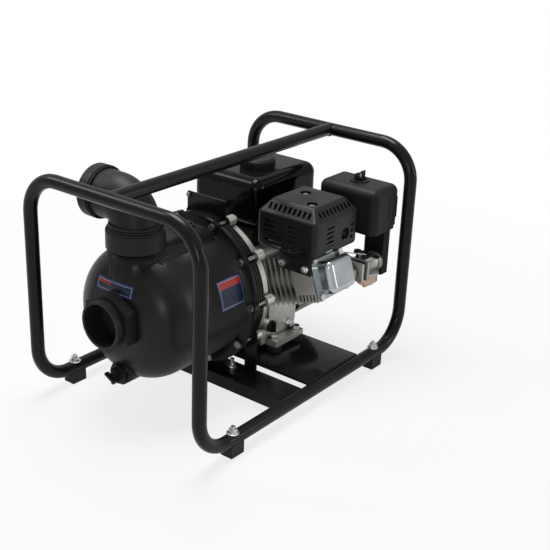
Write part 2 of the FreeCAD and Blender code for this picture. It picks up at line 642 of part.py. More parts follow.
cover_outline = [
    ("shaft_y-84", f"{BASE}+4"), ("shaft_y+50", f"{BASE}+4"), ("shaft_y+56", f"{BASE}+12"),
    ("shaft_y+56", f"{SHAFT}+24"), ("shaft_y+34", f"{SHAFT}+58"), ("shaft_y-30", f"{SHAFT}+60"),
    ("shaft_y-66", f"{SHAFT}+30"), ("shaft_y-84", f"{SHAFT}-34"),
]
side_cover = pad("YZ_Plane", cover_outline, "cover_thick", ("engine_face", 0, 0))
cover_bore = rod("shaft_r+running_gap", 60, ("engine_face-20", "shaft_y", SHAFT), "X")
FILLER_X = "(engine_face+5)"
FILLER_Z = f"({BASE}+51)"
filler_boss = rod(12, 20, (FILLER_X, "shaft_y-102", FILLER_Z), "Y")
filler_bore = rod(8, 30, (FILLER_X, "shaft_y-104", FILLER_Z), "Y")
node("crankcase_cover", cut(fuse(side_cover, filler_boss), cover_bore, filler_bore))
node("oil_filler_plug", fuse(
    rod(12, 5, (FILLER_X, "shaft_y-107-seat_gap", FILLER_Z), "Y"),
    rod("8-seat_gap", 18, (FILLER_X, "shaft_y-102-seat_gap", FILLER_Z), "Y"),
    block(4, 8, 20, (f"{FILLER_X}-2", "shaft_y-114-seat_gap", f"{FILLER_Z}-10"))))
DRAIN_BOLT_Z = f"({BASE}+26)"
node("oil_drain_bolt", fuse(
    hexagon(14, 7, (f"{CASE_END}-20", "shaft_y-94.8", DRAIN_BOLT_Z), "Y"),
    rod(9, 1.5, (f"{CASE_END}-20", "shaft_y-87.8", DRAIN_BOLT_Z), "Y")))

# rubber dampers, bolts and nuts that hold the engine on its plate
dampers = []
engine_bolts = []
engine_nuts = []
for x, y in BASE_SPOTS:
    dampers.append(cut(rod("damper_r", "damper_height", (x, y, DECK)),
                       rod("case_bolt_r+hole_clear", 40, (x, y, f"{DECK}-10"))))
    seat = f"{BASE}+12+seat_gap"
    engine_bolts.append(fuse(rod(8, 1.6, (x, y, seat)), hexagon(13, 7, (x, y, seat)),
                             rod("case_bolt_r", "12+seat_gap+damper_height+deck_sheet+10",
                                 (x, y, f"{DECK}-deck_sheet-10"))))
    engine_nuts.append(cut(hexagon(13, 6.5, (x, y, f"{DECK}-deck_sheet-6.5")),
                           rod("case_bolt_r", 40, (x, y, f"{DECK}-20"))))
node("engine_dampers", group(*dampers))
node("engine_bolts", group(*engine_bolts))
node("engine_nuts", group(*engine_nuts))

# head, valve cover
head = block("2*fin_half", "2*fin_half-8", "cover_s-head_s", ("-fin_half", "-fin_half+4", "head_s"))
slots = [block("2*fin_half+4", 22, 3.5, ("-fin_half-2", "fin_half-24", f"head_s+8+{n}*8"))
         for n in range(5)]
low_slots = [block("2*fin_half+4", 18, 3.5, ("-fin_half-2", "-fin_half+2", f"head_s+8+{n}*8"))
             for n in range(5)]
node("cylinder_head", leaned(cut(head, *slots, *low_slots)))
rim = block("2*fin_half", 84, 3, ("-fin_half", -42, "cover_s"))
dome = block(76, 64, "cover_depth", (-38, -32, "cover_s"))
dome_soft = rounded(dome, 12, lambda edge: upright(edge) or level_at(
    val("cover_s+cover_depth"))(edge))
node("valve_cover", leaned(fuse(rim, dome_soft)))
cover_bolts = [hexagon(12, 7, (x, y, "cover_s+3")) for x in ("-fin_half+7", "fin_half-7") for y in (-35, 35)]
node("valve_cover_bolts", leaned(group(*cover_bolts)))

# blower housing and recoil starter on the engine's far side
housing = lathe([(CASE_END, "shroud_r-20"), (f"{CASE_END}+6", "shroud_r"),
                 (SHROUD_END, "shroud_r"), (SHROUD_END, 60), (f"{SHROUD_END}-3", 60),
                 (f"{SHROUD_END}-3", "shroud_r-3"), (f"{CASE_END}+8", "shroud_r-3"),
                 (f"{CASE_END}+3", "shroud_r-21"), (f"{CASE_END}+3", 40), (CASE_END, 40)],
                SHAFT_LINE)
node("fan_shroud", housing)
RECOIL_END = f"({SHROUD_END}+recoil_length)"
recoil = lathe([(SHROUD_END, "recoil_r-3"), (SHROUD_END, "recoil_r"),
                (f"{RECOIL_END}-8", "recoil_r"), (RECOIL_END, "recoil_r-8"), (RECOIL_END, 0),
                (f"{RECOIL_END}-3", 0), (f"{RECOIL_END}-3", "recoil_r-9.5"),
                (f"{RECOIL_END}-9", "recoil_r-3")], SHAFT_LINE)
node("recoil_cover", recoil)
grip = block(12, 12, 44, (f"{SHROUD_END}+6", "shaft_y-recoil_r-12-seat_gap", f"{SHAFT}-31"))
node("recoil_handle", rounded(grip, 5, lambda edge: True))

# muffler and its louvred guard
def guard_form(inset):
    """Box with four sloped shoulders, drawn in by inset on every side but the bottom."""
    x0, y0, z0 = val("guard_x") + inset, val("guard_y") + inset, val("guard_z")
    length = val("guard_length") - 2 * inset
    width = val("guard_width") - 2 * inset
    slope = val("guard_slope")
    top = val("guard_height") - inset
    levels = ((0, 0), (0, top - slope), (slope, top))
    wires = []
    for shrink, rise in levels:
        corners = [(x0 + shrink, y0 + shrink), (x0 + length - shrink, y0 + shrink),
                   (x0 + length - shrink, y0 + width - shrink), (x0 + shrink, y0 + width - shrink)]
        spots = [FreeCAD.Vector(x, y, z0 + rise) for x, y in corners]
        wires.append(Part.makePolygon(spots + spots[:1]))
    lower = Part.makeLoft(wires[:2], True, True)
    upper = Part.makeLoft(wires[1:], True, True)
    return lower.fuse(upper).removeSplitter()


outer_guard = feature(guard_form(0).cut(guard_form(val("guard_sheet"))))
louvres = []
for n in range(6):
    louvres.append(block("guard_length-40", 12, 4,
                         ("guard_x+20", "guard_y-4", f"guard_z+12+{n}*10")))
    louvres.append(block(12, "guard_width-50", 4,
                         ("guard_x-4", "guard_y+20", f"guard_z+12+{n}*10")))
guard_holes = [rod(3.4, 20, ("guard_x+guard_length/2%s20" % sign, "guard_y+guard_width/2",
                            "guard_z+guard_height-10")) for sign in "-+"]
node("muffler_guard", cut(outer_guard, *louvres, *guard_holes))
silencer = block("guard_length-20", "guard_width-20", "guard_height-24",
                 ("guard_x+10", "guard_y+10", "guard_z+3"))
soft_silencer = rounded(silencer, 16, lambda edge: True)
SCREW_SPOTS = [("guard_x+guard_length/2-20", "guard_y+guard_width/2"),
               ("guard_x+guard_length/2+20", "guard_y+guard_width/2")]
GUARD_TOP = "(guard_z+guard_height)"
chamber = block("guard_length-20-2*guard_sheet", "guard_width-20-2*guard_sheet",
                "guard_height-24-2*guard_sheet",
                ("guard_x+10+guard_sheet", "guard_y+10+guard_sheet", "guard_z+3+guard_sheet"))
soft_chamber = rounded(chamber, "16-guard_sheet", lambda edge: True)
exhaust_bore = rod(12, 40, ("cylinder_x", "guard_y+49", "guard_z-32"))
posts = [rod(7, 27, (x, y, f"{GUARD_TOP}-guard_sheet-27")) for x, y in SCREW_SPOTS]
post_holes = [rod(3, 20, (x, y, f"{GUARD_TOP}-12")) for x, y in SCREW_SPOTS]
outlet = block(40, 30, 40, ("cylinder_x-20", "guard_y+34", "guard_z-30"))
HEAD_KEEP = leaned(group(block("2*fin_half", "2*fin_half-8", "cover_s-deck_s",
                               ("-fin_half", "-fin_half+4", "deck_s"))))
node("muffler", cut(fuse(soft_silencer, *posts, outlet), HEAD_KEEP, soft_chamber, exhaust_bore,
                    *post_holes))
node("guard_screws", group(*[
    fuse(rod(6, 3, (x, y, GUARD_TOP)), rod(2.9, 13, (x, y, f"{GUARD_TOP}-10")))
    for x, y in SCREW_SPOTS]))

# carburettor
CARB_Y = "carb_y"
CARB_Z = "carb_z"
CARB_X = "(cylinder_x+fin_half+insulator)"
throat_rod = rod(17, 62, (CARB_X, CARB_Y, CARB_Z), "X")
flange_a = block(8, 50, 40, (CARB_X, f"{CARB_Y}-25", f"{CARB_Z}-20"))
float_top = rod(24, 14, (f"{CARB_X}+bowl_offset", CARB_Y, f"{CARB_Z}-24"))
node("carburettor", cut(fuse(throat_rod, flange_a, float_top),
                        rod(12, 80, (f"{CARB_X}-10", CARB_Y, CARB_Z), "X")))
node("float_bowl", fuse(
    cone(17, 24, 8, (f"{CARB_X}+bowl_offset", CARB_Y, f"{CARB_Z}-50")),
    rod(24, 18, (f"{CARB_X}+bowl_offset", CARB_Y, f"{CARB_Z}-42"))))
node("bowl_screw", hexagon(10, 8, (f"{CARB_X}+bowl_offset", CARB_Y, f"{CARB_Z}-58")))
node("intake_insulator", block("insulator", 40, 36, ("cylinder_x+fin_half", f"{CARB_Y}-20",
                                            f"{CARB_Z}-18")))

# air cleaner
CLEAN_TOP = "(cleaner_z+cleaner_height)"
case_box = block("cleaner_length", "cleaner_width", "cleaner_height",
                 ("cleaner_x", "cleaner_y", "cleaner_z"))
soft_case = rounded(case_box, 16, lambda edge: upright(edge) or level_at(val(CLEAN_TOP))(edge))
inside = block("cleaner_length-2*cleaner_wall", "cleaner_width-2*cleaner_wall",
               "cleaner_height-cleaner_wall",
               ("cleaner_x+cleaner_wall", "cleaner_y+cleaner_wall", "cleaner_z"))
soft_inside = rounded(inside, 13, lambda edge: upright(edge) or level_at(
    val("cleaner_z+cleaner_height-cleaner_wall"))(edge))
STUD_X = "(cleaner_x+cleaner_length/2)"
STUD_Y = "(cleaner_y+cleaner_width/2)"
node("air_cleaner_cover", cut(soft_case, soft_inside, rod(3.5, 200, (STUD_X, STUD_Y, "cleaner_z"))))
tray = block("cleaner_length-4", "cleaner_width-4", 8, ("cleaner_x+2", "cleaner_y+2", "cleaner_z-8-seat_gap"))
soft_tray = rounded(tray, 14, upright)
duct = block("duct_length", 44, f"cleaner_z-8-seat_gap-({CARB_Z})+22",
             (f"{CARB_X}+62", f"{CARB_Y}-22", f"{CARB_Z}-22"))
duct_bore = rod(12, 20, (f"{CARB_X}+50", CARB_Y, CARB_Z), "X")
node("air_cleaner_base", cut(fuse(soft_tray, duct), duct_bore))
node("cleaner_stud", rod(3, "cleaner_height+14", (STUD_X, STUD_Y, "cleaner_z-seat_gap")))
node("filter_element", cut(
    block("cleaner_length-16", "cleaner_width-16", "cleaner_height-16",
          ("cleaner_x+8", "cleaner_y+8", "cleaner_z")),
    block("cleaner_length-56", "cleaner_width-56", "cleaner_height-10",
          ("cleaner_x+28", "cleaner_y+28", "cleaner_z-2"))))
wing = fuse(rod(7, 7, (STUD_X, STUD_Y, f"{CLEAN_TOP}+seat_gap")),
            block(34, 3, 14, (f"{STUD_X}-17", f"{STUD_Y}-1.5", f"{CLEAN_TOP}+seat_gap+3")))
node("wing_nut", cut(wing, rod("3+running_gap", 60, (STUD_X, STUD_Y, f"{CLEAN_TOP}-5"))))

# fuel tank and cap
posts = [block(26, 34, "tank_z-seat_gap-170", (f"{CASE_START}+26", y, 170))
         for y in ("shaft_y-18", "shaft_y+14")]
node("tank_brackets", group(*[cut(post, case_block) for post in posts]))
TANK_TOP = "(tank_z+tank_height)"
tank_box = block("tank_length", "tank_width", "tank_height", ("tank_x", "tank_y", "tank_z"))
tank_soft = rounded(tank_box, "tank_round", lambda edge: upright(edge) or level_at(
    val(TANK_TOP))(edge) or level_at(val("tank_z"))(edge))
tank_hollow = block("tank_length-2*tank_wall", "tank_width-2*tank_wall",
                    "tank_height-2*tank_wall",
                    ("tank_x+tank_wall", "tank_y+tank_wall", "tank_z+tank_wall"))
tank_space = rounded(tank_hollow, "tank_round-tank_wall", lambda edge: upright(edge) or level_at(
    val(f"{TANK_TOP}-tank_wall"))(edge) or level_at(val("tank_z+tank_wall"))(edge))
tank_neck = rod("cap_r-8", 14, ("cap_x", "cap_y", f"{TANK_TOP}-4"))
neck_bore = rod("cap_r-11", 60, ("cap_x", "cap_y", f"{TANK_TOP}-40"))
node("fuel_tank", cut(fuse(tank_soft, tank_neck), tank_space, neck_bore))
cap = lathe([(0, "cap_r-7.5"), (0, "cap_r"), (16, "cap_r"), (20, "cap_r-4"), (20, 0), (12, 0),
             (12, "cap_r-7.5")], ("cap_x", "cap_y", f"{TANK_TOP}+seat_gap"), "Z")
node("fuel_cap", cap)

doc.recompute()
faults = []
for item in doc.Objects:
    if any(word in ("Invalid", "Error") for word in item.State):
        faults.append(item.Name + " " + str(item.State))
for item in nodes:
    if item.Shape.isNull() or not item.Shape.isValid() or not item.Shape.Solids:
        faults.append(item.Label + " has no valid shape")
if faults:
    raise RuntimeError("; ".join(faults))
os.makedirs("parts", exist_ok=True)
for item in nodes:
    item.Shape.exportStep("parts/" + item.Label + ".step")
print(len(nodes), "nodes written")
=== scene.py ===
import math

import bpy
from mathutils import Matrix, Vector


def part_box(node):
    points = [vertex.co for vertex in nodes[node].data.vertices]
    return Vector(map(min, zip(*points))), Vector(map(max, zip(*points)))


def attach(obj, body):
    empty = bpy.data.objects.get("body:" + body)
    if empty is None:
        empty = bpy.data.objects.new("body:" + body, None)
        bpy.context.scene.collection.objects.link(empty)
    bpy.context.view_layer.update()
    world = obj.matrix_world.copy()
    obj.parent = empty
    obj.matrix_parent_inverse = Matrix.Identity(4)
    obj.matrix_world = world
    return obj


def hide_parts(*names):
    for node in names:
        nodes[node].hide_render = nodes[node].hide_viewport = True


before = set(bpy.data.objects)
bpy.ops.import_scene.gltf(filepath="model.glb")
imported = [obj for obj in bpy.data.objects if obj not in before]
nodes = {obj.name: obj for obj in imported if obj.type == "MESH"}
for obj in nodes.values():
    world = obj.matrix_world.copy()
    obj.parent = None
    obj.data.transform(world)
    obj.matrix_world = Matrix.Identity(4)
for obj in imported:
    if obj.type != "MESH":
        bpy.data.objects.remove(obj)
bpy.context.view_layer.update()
bpy.ops.object.select_all(action="DESELECT")

# ---- Studio -------------------------------------------------------------------------
# A white sweep under four soft boxes: one overhead, one behind to the left, one in front
# to the right and a narrow one at the camera, which faces the pump end on a 70 mm lens.

view_azimuth = math.radians(-52.85)
view_height = math.radians(22.96)
view_roll = math.radians(2.3)
camera_place = Vector((-1.43299, -1.19330, 0.99996))
look_back = Vector((math.sin(view_azimuth) * math.cos(view_height),
                    -math.cos(view_azimuth) * math.cos(view_height), math.sin(view_height)))
level_right = Vector((math.cos(view_azimuth), math.sin(view_azimuth), 0))
level_up = look_back.cross(level_right)
camera_right = level_right * math.cos(view_roll) + level_up * math.sin(view_roll)
camera_up = level_up * math.cos(view_roll) - level_right * math.sin(view_roll)
stand = Matrix((camera_right, camera_up, look_back)).transposed().to_4x4()
stand.translation = camera_place
camera_data = bpy.data.cameras.new("studio_camera")
camera_data.lens = 69.83
camera_data.sensor_width = 36
camera = bpy.data.objects.new("studio_camera", camera_data)
camera.matrix_world = stand
bpy.context.scene.collection.objects.link(camera)
bpy.context.scene.camera = camera
bpy.context.scene.view_settings.view_transform = "Standard"


def seen_directly(tree, in_gloss):
    """Node output: 1 for rays from the camera and through glass, in_gloss in reflections."""
    path = tree.nodes.new("ShaderNodeLightPath")
    gloss = tree.nodes.new("ShaderNodeMath")
    gloss.operation = "MULTIPLY_ADD"
    gloss.use_clamp = True
    gloss.inputs[1].default_value = in_gloss
    tree.links.new(path.outputs["Is Glossy Ray"], gloss.inputs[0])
    tree.links.new(path.outputs["Is Camera Ray"], gloss.inputs[2])
    last = tree.nodes.new("ShaderNodeMath")
    last.operation = "ADD"
    last.use_clamp = True
    tree.links.new(gloss.outputs[0], last.inputs[0])
    tree.links.new(path.outputs["Is Transmission Ray"], last.inputs[1])
    return last.outputs[0]


white_in_gloss = 0.5
fill_on_machine = 0.06
world = bpy.data.worlds.new("white_sweep")
bpy.context.scene.world = world
world.use_nodes = True
tree = world.node_tree
sky = tree.nodes["Background"]
sky.inputs["Color"].default_value = (1, 1, 1, 1)
level = tree.nodes.new("ShaderNodeMapRange")
level.inputs["To Min"].default_value = fill_on_machine
level.inputs["To Max"].default_value = 1.0
tree.links.new(seen_directly(tree, white_in_gloss), level.inputs["Value"])
tree.links.new(level.outputs["Result"], sky.inputs["Strength"])

sweep_side, sweep_drop = 16, 0.0004
shadow_until, white_from = 0.45, 1.3
glow_near, glow_far = 0.80, 1.0
bpy.ops.mesh.primitive_plane_add(size=sweep_side, location=(0, 0, -sweep_drop))
floor = bpy.context.object
floor.name = "studio_floor"
sweep = bpy.data.materials.new("studio_floor")
sweep.use_nodes = True
tree = sweep.node_tree
tree.nodes.clear()
paper = tree.nodes.new("ShaderNodeBsdfDiffuse")
paper.inputs["Color"].default_value = (0.86, 0.86, 0.86, 1)
glow = tree.nodes.new("ShaderNodeEmission")
glow.inputs["Strength"].default_value = 1.0
place = tree.nodes.new("ShaderNodeTexCoord")
reach = tree.nodes.new("ShaderNodeVectorMath")
reach.operation = "LENGTH"
tree.links.new(place.outputs["Object"], reach.inputs[0])
fade = tree.nodes.new("ShaderNodeMapRange")
fade.inputs["From Min"].default_value = shadow_until
fade.inputs["From Max"].default_value = white_from
fade.inputs["To Min"].default_value = glow_near
fade.inputs["To Max"].default_value = glow_far
tree.links.new(reach.outputs["Value"], fade.inputs["Value"])
share = tree.nodes.new("ShaderNodeMath")
share.operation = "MULTIPLY"
tree.links.new(fade.outputs["Result"], share.inputs[0])
tree.links.new(seen_directly(tree, white_in_gloss), share.inputs[1])
mix = tree.nodes.new("ShaderNodeMixShader")
tree.links.new(share.outputs[0], mix.inputs["Fac"])
tree.links.new(paper.outputs[0], mix.inputs[1])
tree.links.new(glow.outputs[0], mix.inputs[2])
out = tree.nodes.new("ShaderNodeOutputMaterial")
tree.links.new(mix.outputs[0], out.inputs["Surface"])
floor.data.materials.append(sweep)


def soft_box(name, at, aim, width, height, power):
    """One rectangular soft box that faces the point aim."""
    data = bpy.data.lights.new(name, "AREA")
    data.shape = "RECTANGLE"
    data.size = width
    data.size_y = height
    data.energy = power
    lamp = bpy.data.objects.new(name, data)
    lamp.location = at
    lamp.rotation_euler = (Vector(aim) - Vector(at)).to_track_quat("-Z", "Y").to_euler()
    bpy.context.scene.collection.objects.link(lamp)


machine_middle = (0, 0, 0.2)
casing_middle = (-0.2, 0, 0.2)
soft_box("top_box", (0.1, 0.35, 2.3), machine_middle, 1.2, 1.2, 47)
soft_box("left_box", (-1.0, 2.0, 2.2), machine_middle, 0.7, 1.3, 18)
soft_box("front_box", (1.3, -2.3, 0.9), machine_middle, 0.7, 1.2, 10)
soft_box("camera_box", (-1.65, -1.15, 0.70), casing_middle, 0.16, 0.5, 4.5)

# ---- Frame tubes --------------------------------------------------------------------
# Two hoops bent from 25 mm steel tube and a handle bar coped between them, welded up and
# sprayed with a gloss black that shows a slight orange peel and settled dust.


def coat(name, colour, roughness, metallic=0.0, grain=600.0, depth=0.0002, shift=0.25,
         patch=18.0, specular=0.3, blur=0.08, dust=0.0):
    """A surface whose colour and gloss drift over large patches, with grain and dust."""
    dust_colour = (0.30, 0.28, 0.25, 1)
    dust_slope = 0.2
    skin = bpy.data.materials.new(name)
    skin.use_nodes = True
    tree = skin.node_tree
    shader = tree.nodes["Principled BSDF"]
    shader.inputs["Metallic"].default_value = metallic
    shader.inputs["Specular IOR Level"].default_value = specular
    spot = tree.nodes.new("ShaderNodeTexCoord")
    cloud = tree.nodes.new("ShaderNodeTexNoise")
    cloud.inputs["Scale"].default_value = patch
    cloud.inputs["Detail"].default_value = 5
    tree.links.new(spot.outputs["Object"], cloud.inputs["Vector"])
    tone = tree.nodes.new("ShaderNodeMix")
    tone.data_type = "RGBA"
    tone.inputs["A"].default_value = (*[c * (1 - shift) for c in colour], 1)
    tone.inputs["B"].default_value = (*[min(1, c * (1 + shift)) for c in colour], 1)
    tree.links.new(cloud.outputs["Fac"], tone.inputs["Factor"])
    speck = tree.nodes.new("ShaderNodeTexNoise")
    speck.inputs["Scale"].default_value = grain
    speck.inputs["Detail"].default_value = 3
    tree.links.new(spot.outputs["Object"], speck.inputs["Vector"])
    shown = tone.outputs["Result"]
    if dust:
        facing = tree.nodes.new("ShaderNodeNewGeometry")
        upward = tree.nodes.new("ShaderNodeSeparateXYZ")
        tree.links.new(facing.outputs["Normal"], upward.inputs["Vector"])
        lying = tree.nodes.new("ShaderNodeMapRange")
        lying.inputs["From Min"].default_value = dust_slope
        lying.inputs["To Max"].default_value = dust
        tree.links.new(upward.outputs["Z"], lying.inputs["Value"])
        spread = tree.nodes.new("ShaderNodeMath")
        spread.operation = "MULTIPLY"
        tree.links.new(lying.outputs["Result"], spread.inputs[0])
        tree.links.new(cloud.outputs["Fac"], spread.inputs[1])
        dusty = tree.nodes.new("ShaderNodeMix")
        dusty.data_type = "RGBA"
        dusty.inputs["B"].default_value = dust_colour
        tree.links.new(spread.outputs["Value"], dusty.inputs["Factor"])
        tree.links.new(shown, dusty.inputs["A"])
        shown = dusty.outputs["Result"]
    tree.links.new(shown, shader.inputs["Base Color"])
    gloss = tree.nodes.new("ShaderNodeMapRange")
    gloss.inputs["To Min"].default_value = max(0.02, roughness - blur)
    gloss.inputs["To Max"].default_value = min(1, roughness + blur)
    tree.links.new(cloud.outputs["Fac"], gloss.inputs["Value"])
    tree.links.new(gloss.outputs["Result"], shader.inputs["Roughness"])
    relief = tree.nodes.new("ShaderNodeBump")
    relief.inputs["Strength"].default_value = 0.5
    relief.inputs["Distance"].default_value = depth
    tree.links.new(speck.outputs["Fac"], relief.inputs["Height"])
    tree.links.new(relief.outputs["Normal"], shader.inputs["Normal"])
    return skin


def dress(skin, *names):
    """Gives the pieces of the frame model their surface finish."""
    for name in names:
        slots = nodes[name].data.materials
        slots.clear()
        slots.append(skin)


tube_enamel = coat("tube_enamel", (0.0088, 0.0076, 0.0064), 0.22, grain=320, depth=0.0002,
                   specular=0.2, dust=0.03)
dress(tube_enamel, "pump_end_hoop", "engine_end_hoop", "handle_bar", "cross_member",
      "support_brackets", "top_bracket")

# ---- Frame welds --------------------------------------------------------------------
# Rippled beads where the handle bar is let into the hoops, dressed flush on top, and along
# the ends of the cross member and the engine plate on the bottom rails, all painted over.


def alone(piece):
    """Selects one piece and nothing else."""
    bpy.ops.object.select_all(action="DESELECT")
    piece.select_set(True)
    bpy.context.view_layer.objects.active = piece


def settle(piece, name, skin, body="frame_and_engine", smooth=40):
    """Sets a new piece's place into its mesh, names and coats it, and lets it ride."""
    alone(piece)
    bpy.ops.object.transform_apply(location=True, rotation=True, scale=True)
    bpy.ops.object.shade_smooth_by_angle(angle=math.radians(smooth))
    piece.name = name
    piece.data.name = name
    piece.data.materials.clear()
    piece.data.materials.append(skin)
    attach(piece, body)
    piece.select_set(False)


def joined(pieces):
    """Makes one piece of several like ones."""
    bpy.ops.object.select_all(action="DESELECT")
    for piece in pieces:
        piece.select_set(True)
    bpy.context.view_layer.objects.active = pieces[0]
    bpy.ops.object.join()
    return bpy.context.object


bead_radius = 0.0021
bar_low, bar_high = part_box("handle_bar")
bar_radius = (bar_high[2] - bar_low[2]) / 2
bead_from_end = 0.0062
dressed_top = bar_high[2] - 0.0002
ring_beads = []
for end, out in ((bar_low[0], -1), (bar_high[0], 1)):
    bpy.ops.mesh.primitive_torus_add(
        location=(end - out * bead_from_end, 0, (bar_low[2] + bar_high[2]) / 2),
        rotation=(0, math.pi / 2, 0), major_segments=64, minor_segments=10,
        major_radius=bar_radius + 0.0002, minor_radius=bead_radius)
    ring_beads.append(bpy.context.object)
handle_welds = joined(ring_beads)
bpy.ops.object.mode_set(mode="EDIT")
bpy.ops.mesh.select_all(action="SELECT")
bpy.ops.transform.vertex_random(offset=0.0005, seed=4)
bpy.ops.mesh.bisect(plane_co=(0, 0, dressed_top), plane_no=(0, 0, 1), clear_outer=True,
                    use_fill=True)
bpy.ops.object.mode_set(mode="OBJECT")
settle(handle_welds, "handle_welds", tube_enamel, smooth=80)

bead_heights = (("cross_member", 0.0385), ("engine_plate", 0.0413))
bead_stops_short = 0.006
seams = []
for node, height in bead_heights:
    low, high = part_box(node)
    for edge, out in ((low[1], -1), (high[1], 1)):
        bpy.ops.mesh.primitive_cylinder_add(
            vertices=12, radius=bead_radius, depth=high[0] - low[0] - bead_stops_short,
            location=((low[0] + high[0]) / 2, edge + out * 0.0004, height),
            rotation=(0, math.pi / 2, 0))
        bead = bpy.context.object
        bpy.ops.object.mode_set(mode="EDIT")
        bpy.ops.mesh.select_all(action="SELECT")
        bpy.ops.mesh.subdivide(number_cuts=3)
        bpy.ops.transform.vertex_random(offset=0.0006, seed=7)
        bpy.ops.object.mode_set(mode="OBJECT")
        seams.append(bead)
settle(joined(seams), "rail_welds", tube_enamel, smooth=80)

# ---- Engine plate -------------------------------------------------------------------
# Folded steel plate across the rails with a lip on its far edge only, so daylight shows
# between it and the cross member. Brush painted in a thicker, glossier black.


def eased(piece, width, steps=2):
    """Rounds the edges of a piece and makes it part of its mesh."""
    alone(piece)
    bpy.ops.object.transform_apply(location=False, rotation=False, scale=True)
    round_off = piece.modifiers.new("edges", "BEVEL")
    round_off.width = width
    round_off.segments = steps
    round_off.limit_method = "ANGLE"
    bpy.ops.object.modifier_apply(modifier="edges")


def carved(piece, tool, how="DIFFERENCE"):
    """Cuts one closed piece with another, or welds them, and uses the tool up."""
    alone(piece)
    bite = piece.modifiers.new("bite", "BOOLEAN")
    bite.object = tool
    bite.operation = how
    bite.solver = "EXACT"
    bpy.ops.object.modifier_apply(modifier="bite")
    bpy.data.objects.remove(tool, do_unlink=True)


def block(low, high):
    """A box between two corners, in metres."""
    bpy.ops.mesh.primitive_cube_add(size=1, location=[(a + b) / 2 for a, b in zip(low, high)])
    piece = bpy.context.object
    piece.scale = [b - a for a, b in zip(low, high)]
    bpy.ops.object.transform_apply(location=True, rotation=False, scale=True)
    return piece


plate_enamel = coat("plate_enamel", (0.007, 0.007, 0.007), 0.14, grain=160, depth=0.0003,
                    blur=0.05, specular=0.25, dust=0.04)
deck_back, deck_sheet, lip_sheet = 0.006, 0.004, 0.003
low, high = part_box("engine_plate")
deck = block((low[0] + deck_back, low[1], high[2] - deck_sheet), high)
lip = block((high[0] - lip_sheet, low[1], low[2]), (high[0], high[1], high[2] - 0.002))
carved(deck, lip, "UNION")
eased(deck, 0.0007)
settle(deck, "engine_deck", plate_enamel)
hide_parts("engine_plate")

# ---- Feet and fasteners -------------------------------------------------------------
# Square rubber feet bolted through the bottom rails, and the zinc plated bolts and nuts
# of the whole machine, with a plain washer under each foot nut.

rubber = coat("rubber", (0.020, 0.019, 0.018), 0.62, grain=900, depth=0.0002, specular=0.25,
              dust=0.05)
dress(rubber, "rubber_feet", "engine_dampers", "check_valve_flap")
bright_zinc = coat("bright_zinc", (0.66, 0.66, 0.66), 0.3, metallic=1.0, grain=900,
                   depth=0.00008, shift=0.2, patch=60)
dress(bright_zinc, "foot_bolts", "foot_nuts", "support_bolts", "support_nuts", "engine_bolts",
      "engine_nuts", "guard_screws", "valve_cover_bolts", "oil_drain_bolt", "cleaner_stud")
dull_zinc = coat("dull_zinc", (0.27, 0.26, 0.25), 0.42, metallic=1.0, grain=700,
                 depth=0.0001, shift=0.3, patch=50)
dress(dull_zinc, "casing_bolts", "casing_nuts")

nut_to_axis, washer_radius, washer_sheet = 0.009, 0.0112, 0.0014
washers = []
low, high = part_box("foot_nuts")
for x in (low[0] + nut_to_axis, high[0] - nut_to_axis):
    for y in (low[1] + nut_to_axis, high[1] - nut_to_axis):
        bpy.ops.mesh.primitive_cylinder_add(vertices=40, radius=washer_radius,
                                            depth=washer_sheet,
                                            location=(x, y, low[2] - 0.0006))
        washer = bpy.context.object
        eased(washer, 0.0003)
        washers.append(washer)
settle(joined(washers), "foot_washers", bright_zinc)

# ---- Pump casing --------------------------------------------------------------------
# Glass filled polymer casing, moulded in two halves on ten long bolts: satin where the
# tool is polished, with a fine texture and faint flow marks.

casing_poly = coat("casing_poly", (0.0105, 0.0102, 0.0095), 0.33, grain=1300, depth=0.00007,
                   patch=8, specular=0.22, blur=0.05, dust=0.03)
dress(casing_poly, "front_casing", "rear_casing", "volute", "impeller")
port_poly = coat("port_poly", (0.0150, 0.0145, 0.0136), 0.46, grain=1100, depth=0.00012,
                 patch=14, specular=0.2, dust=0.03)
dress(port_poly, "suction_fitting", "discharge_elbow", "union_collar", "outlet_ring",
      "drain_plug", "priming_plug")

# ---- Casing joint -------------------------------------------------------------------
# The two halves meet in a rim with an ear for each bolt. The far half is ribbed, and
# notched round the bolts, whose long shanks lie open across it.


def copied(node):
    """A closed copy of a frame node's mesh, free to be cut."""
    piece = bpy.data.objects.new(node + "_copy", nodes[node].data.copy())
    bpy.context.scene.collection.objects.link(piece)
    alone(piece)
    bpy.ops.object.mode_set(mode="EDIT")
    bpy.ops.mesh.select_all(action="SELECT")
    bpy.ops.mesh.remove_doubles(threshold=0.00002)
    bpy.ops.object.mode_set(mode="OBJECT")
    return piece


def drum(radius, start, stop, y, z, sides=96):
    """A closed cylinder along X from start to stop."""
    bpy.ops.mesh.primitive_cylinder_add(vertices=sides, radius=radius, depth=stop - start,
                                        location=((start + stop) / 2, y, z),
                                        rotation=(0, math.pi / 2, 0))
    piece = bpy.context.object
    bpy.ops.object.transform_apply(location=True, rotation=True, scale=True)
    return piece


casing_axis_y, casing_axis_z, barrel_radius = 0.038, 0.189, 0.1264
bolt_circle, bolt_count = 0.1386, 10
bolt_spots = [(casing_axis_y + bolt_circle * math.cos(math.tau * turn / bolt_count),
               casing_axis_z + bolt_circle * math.sin(math.tau * turn / bolt_count))
              for turn in range(bolt_count)]
halves_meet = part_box("front_casing")[1][0]
far_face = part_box("rear_casing")[1][0]
outside_casing, rim_radius, groove_floor = 0.160, 0.1410, 0.1372
rim_depth, ear_radius, notch_radius = 0.0115, 0.0105, 0.0078
groove_starts, half_groove = (0.0065, 0.0125, 0.0185), 0.0012

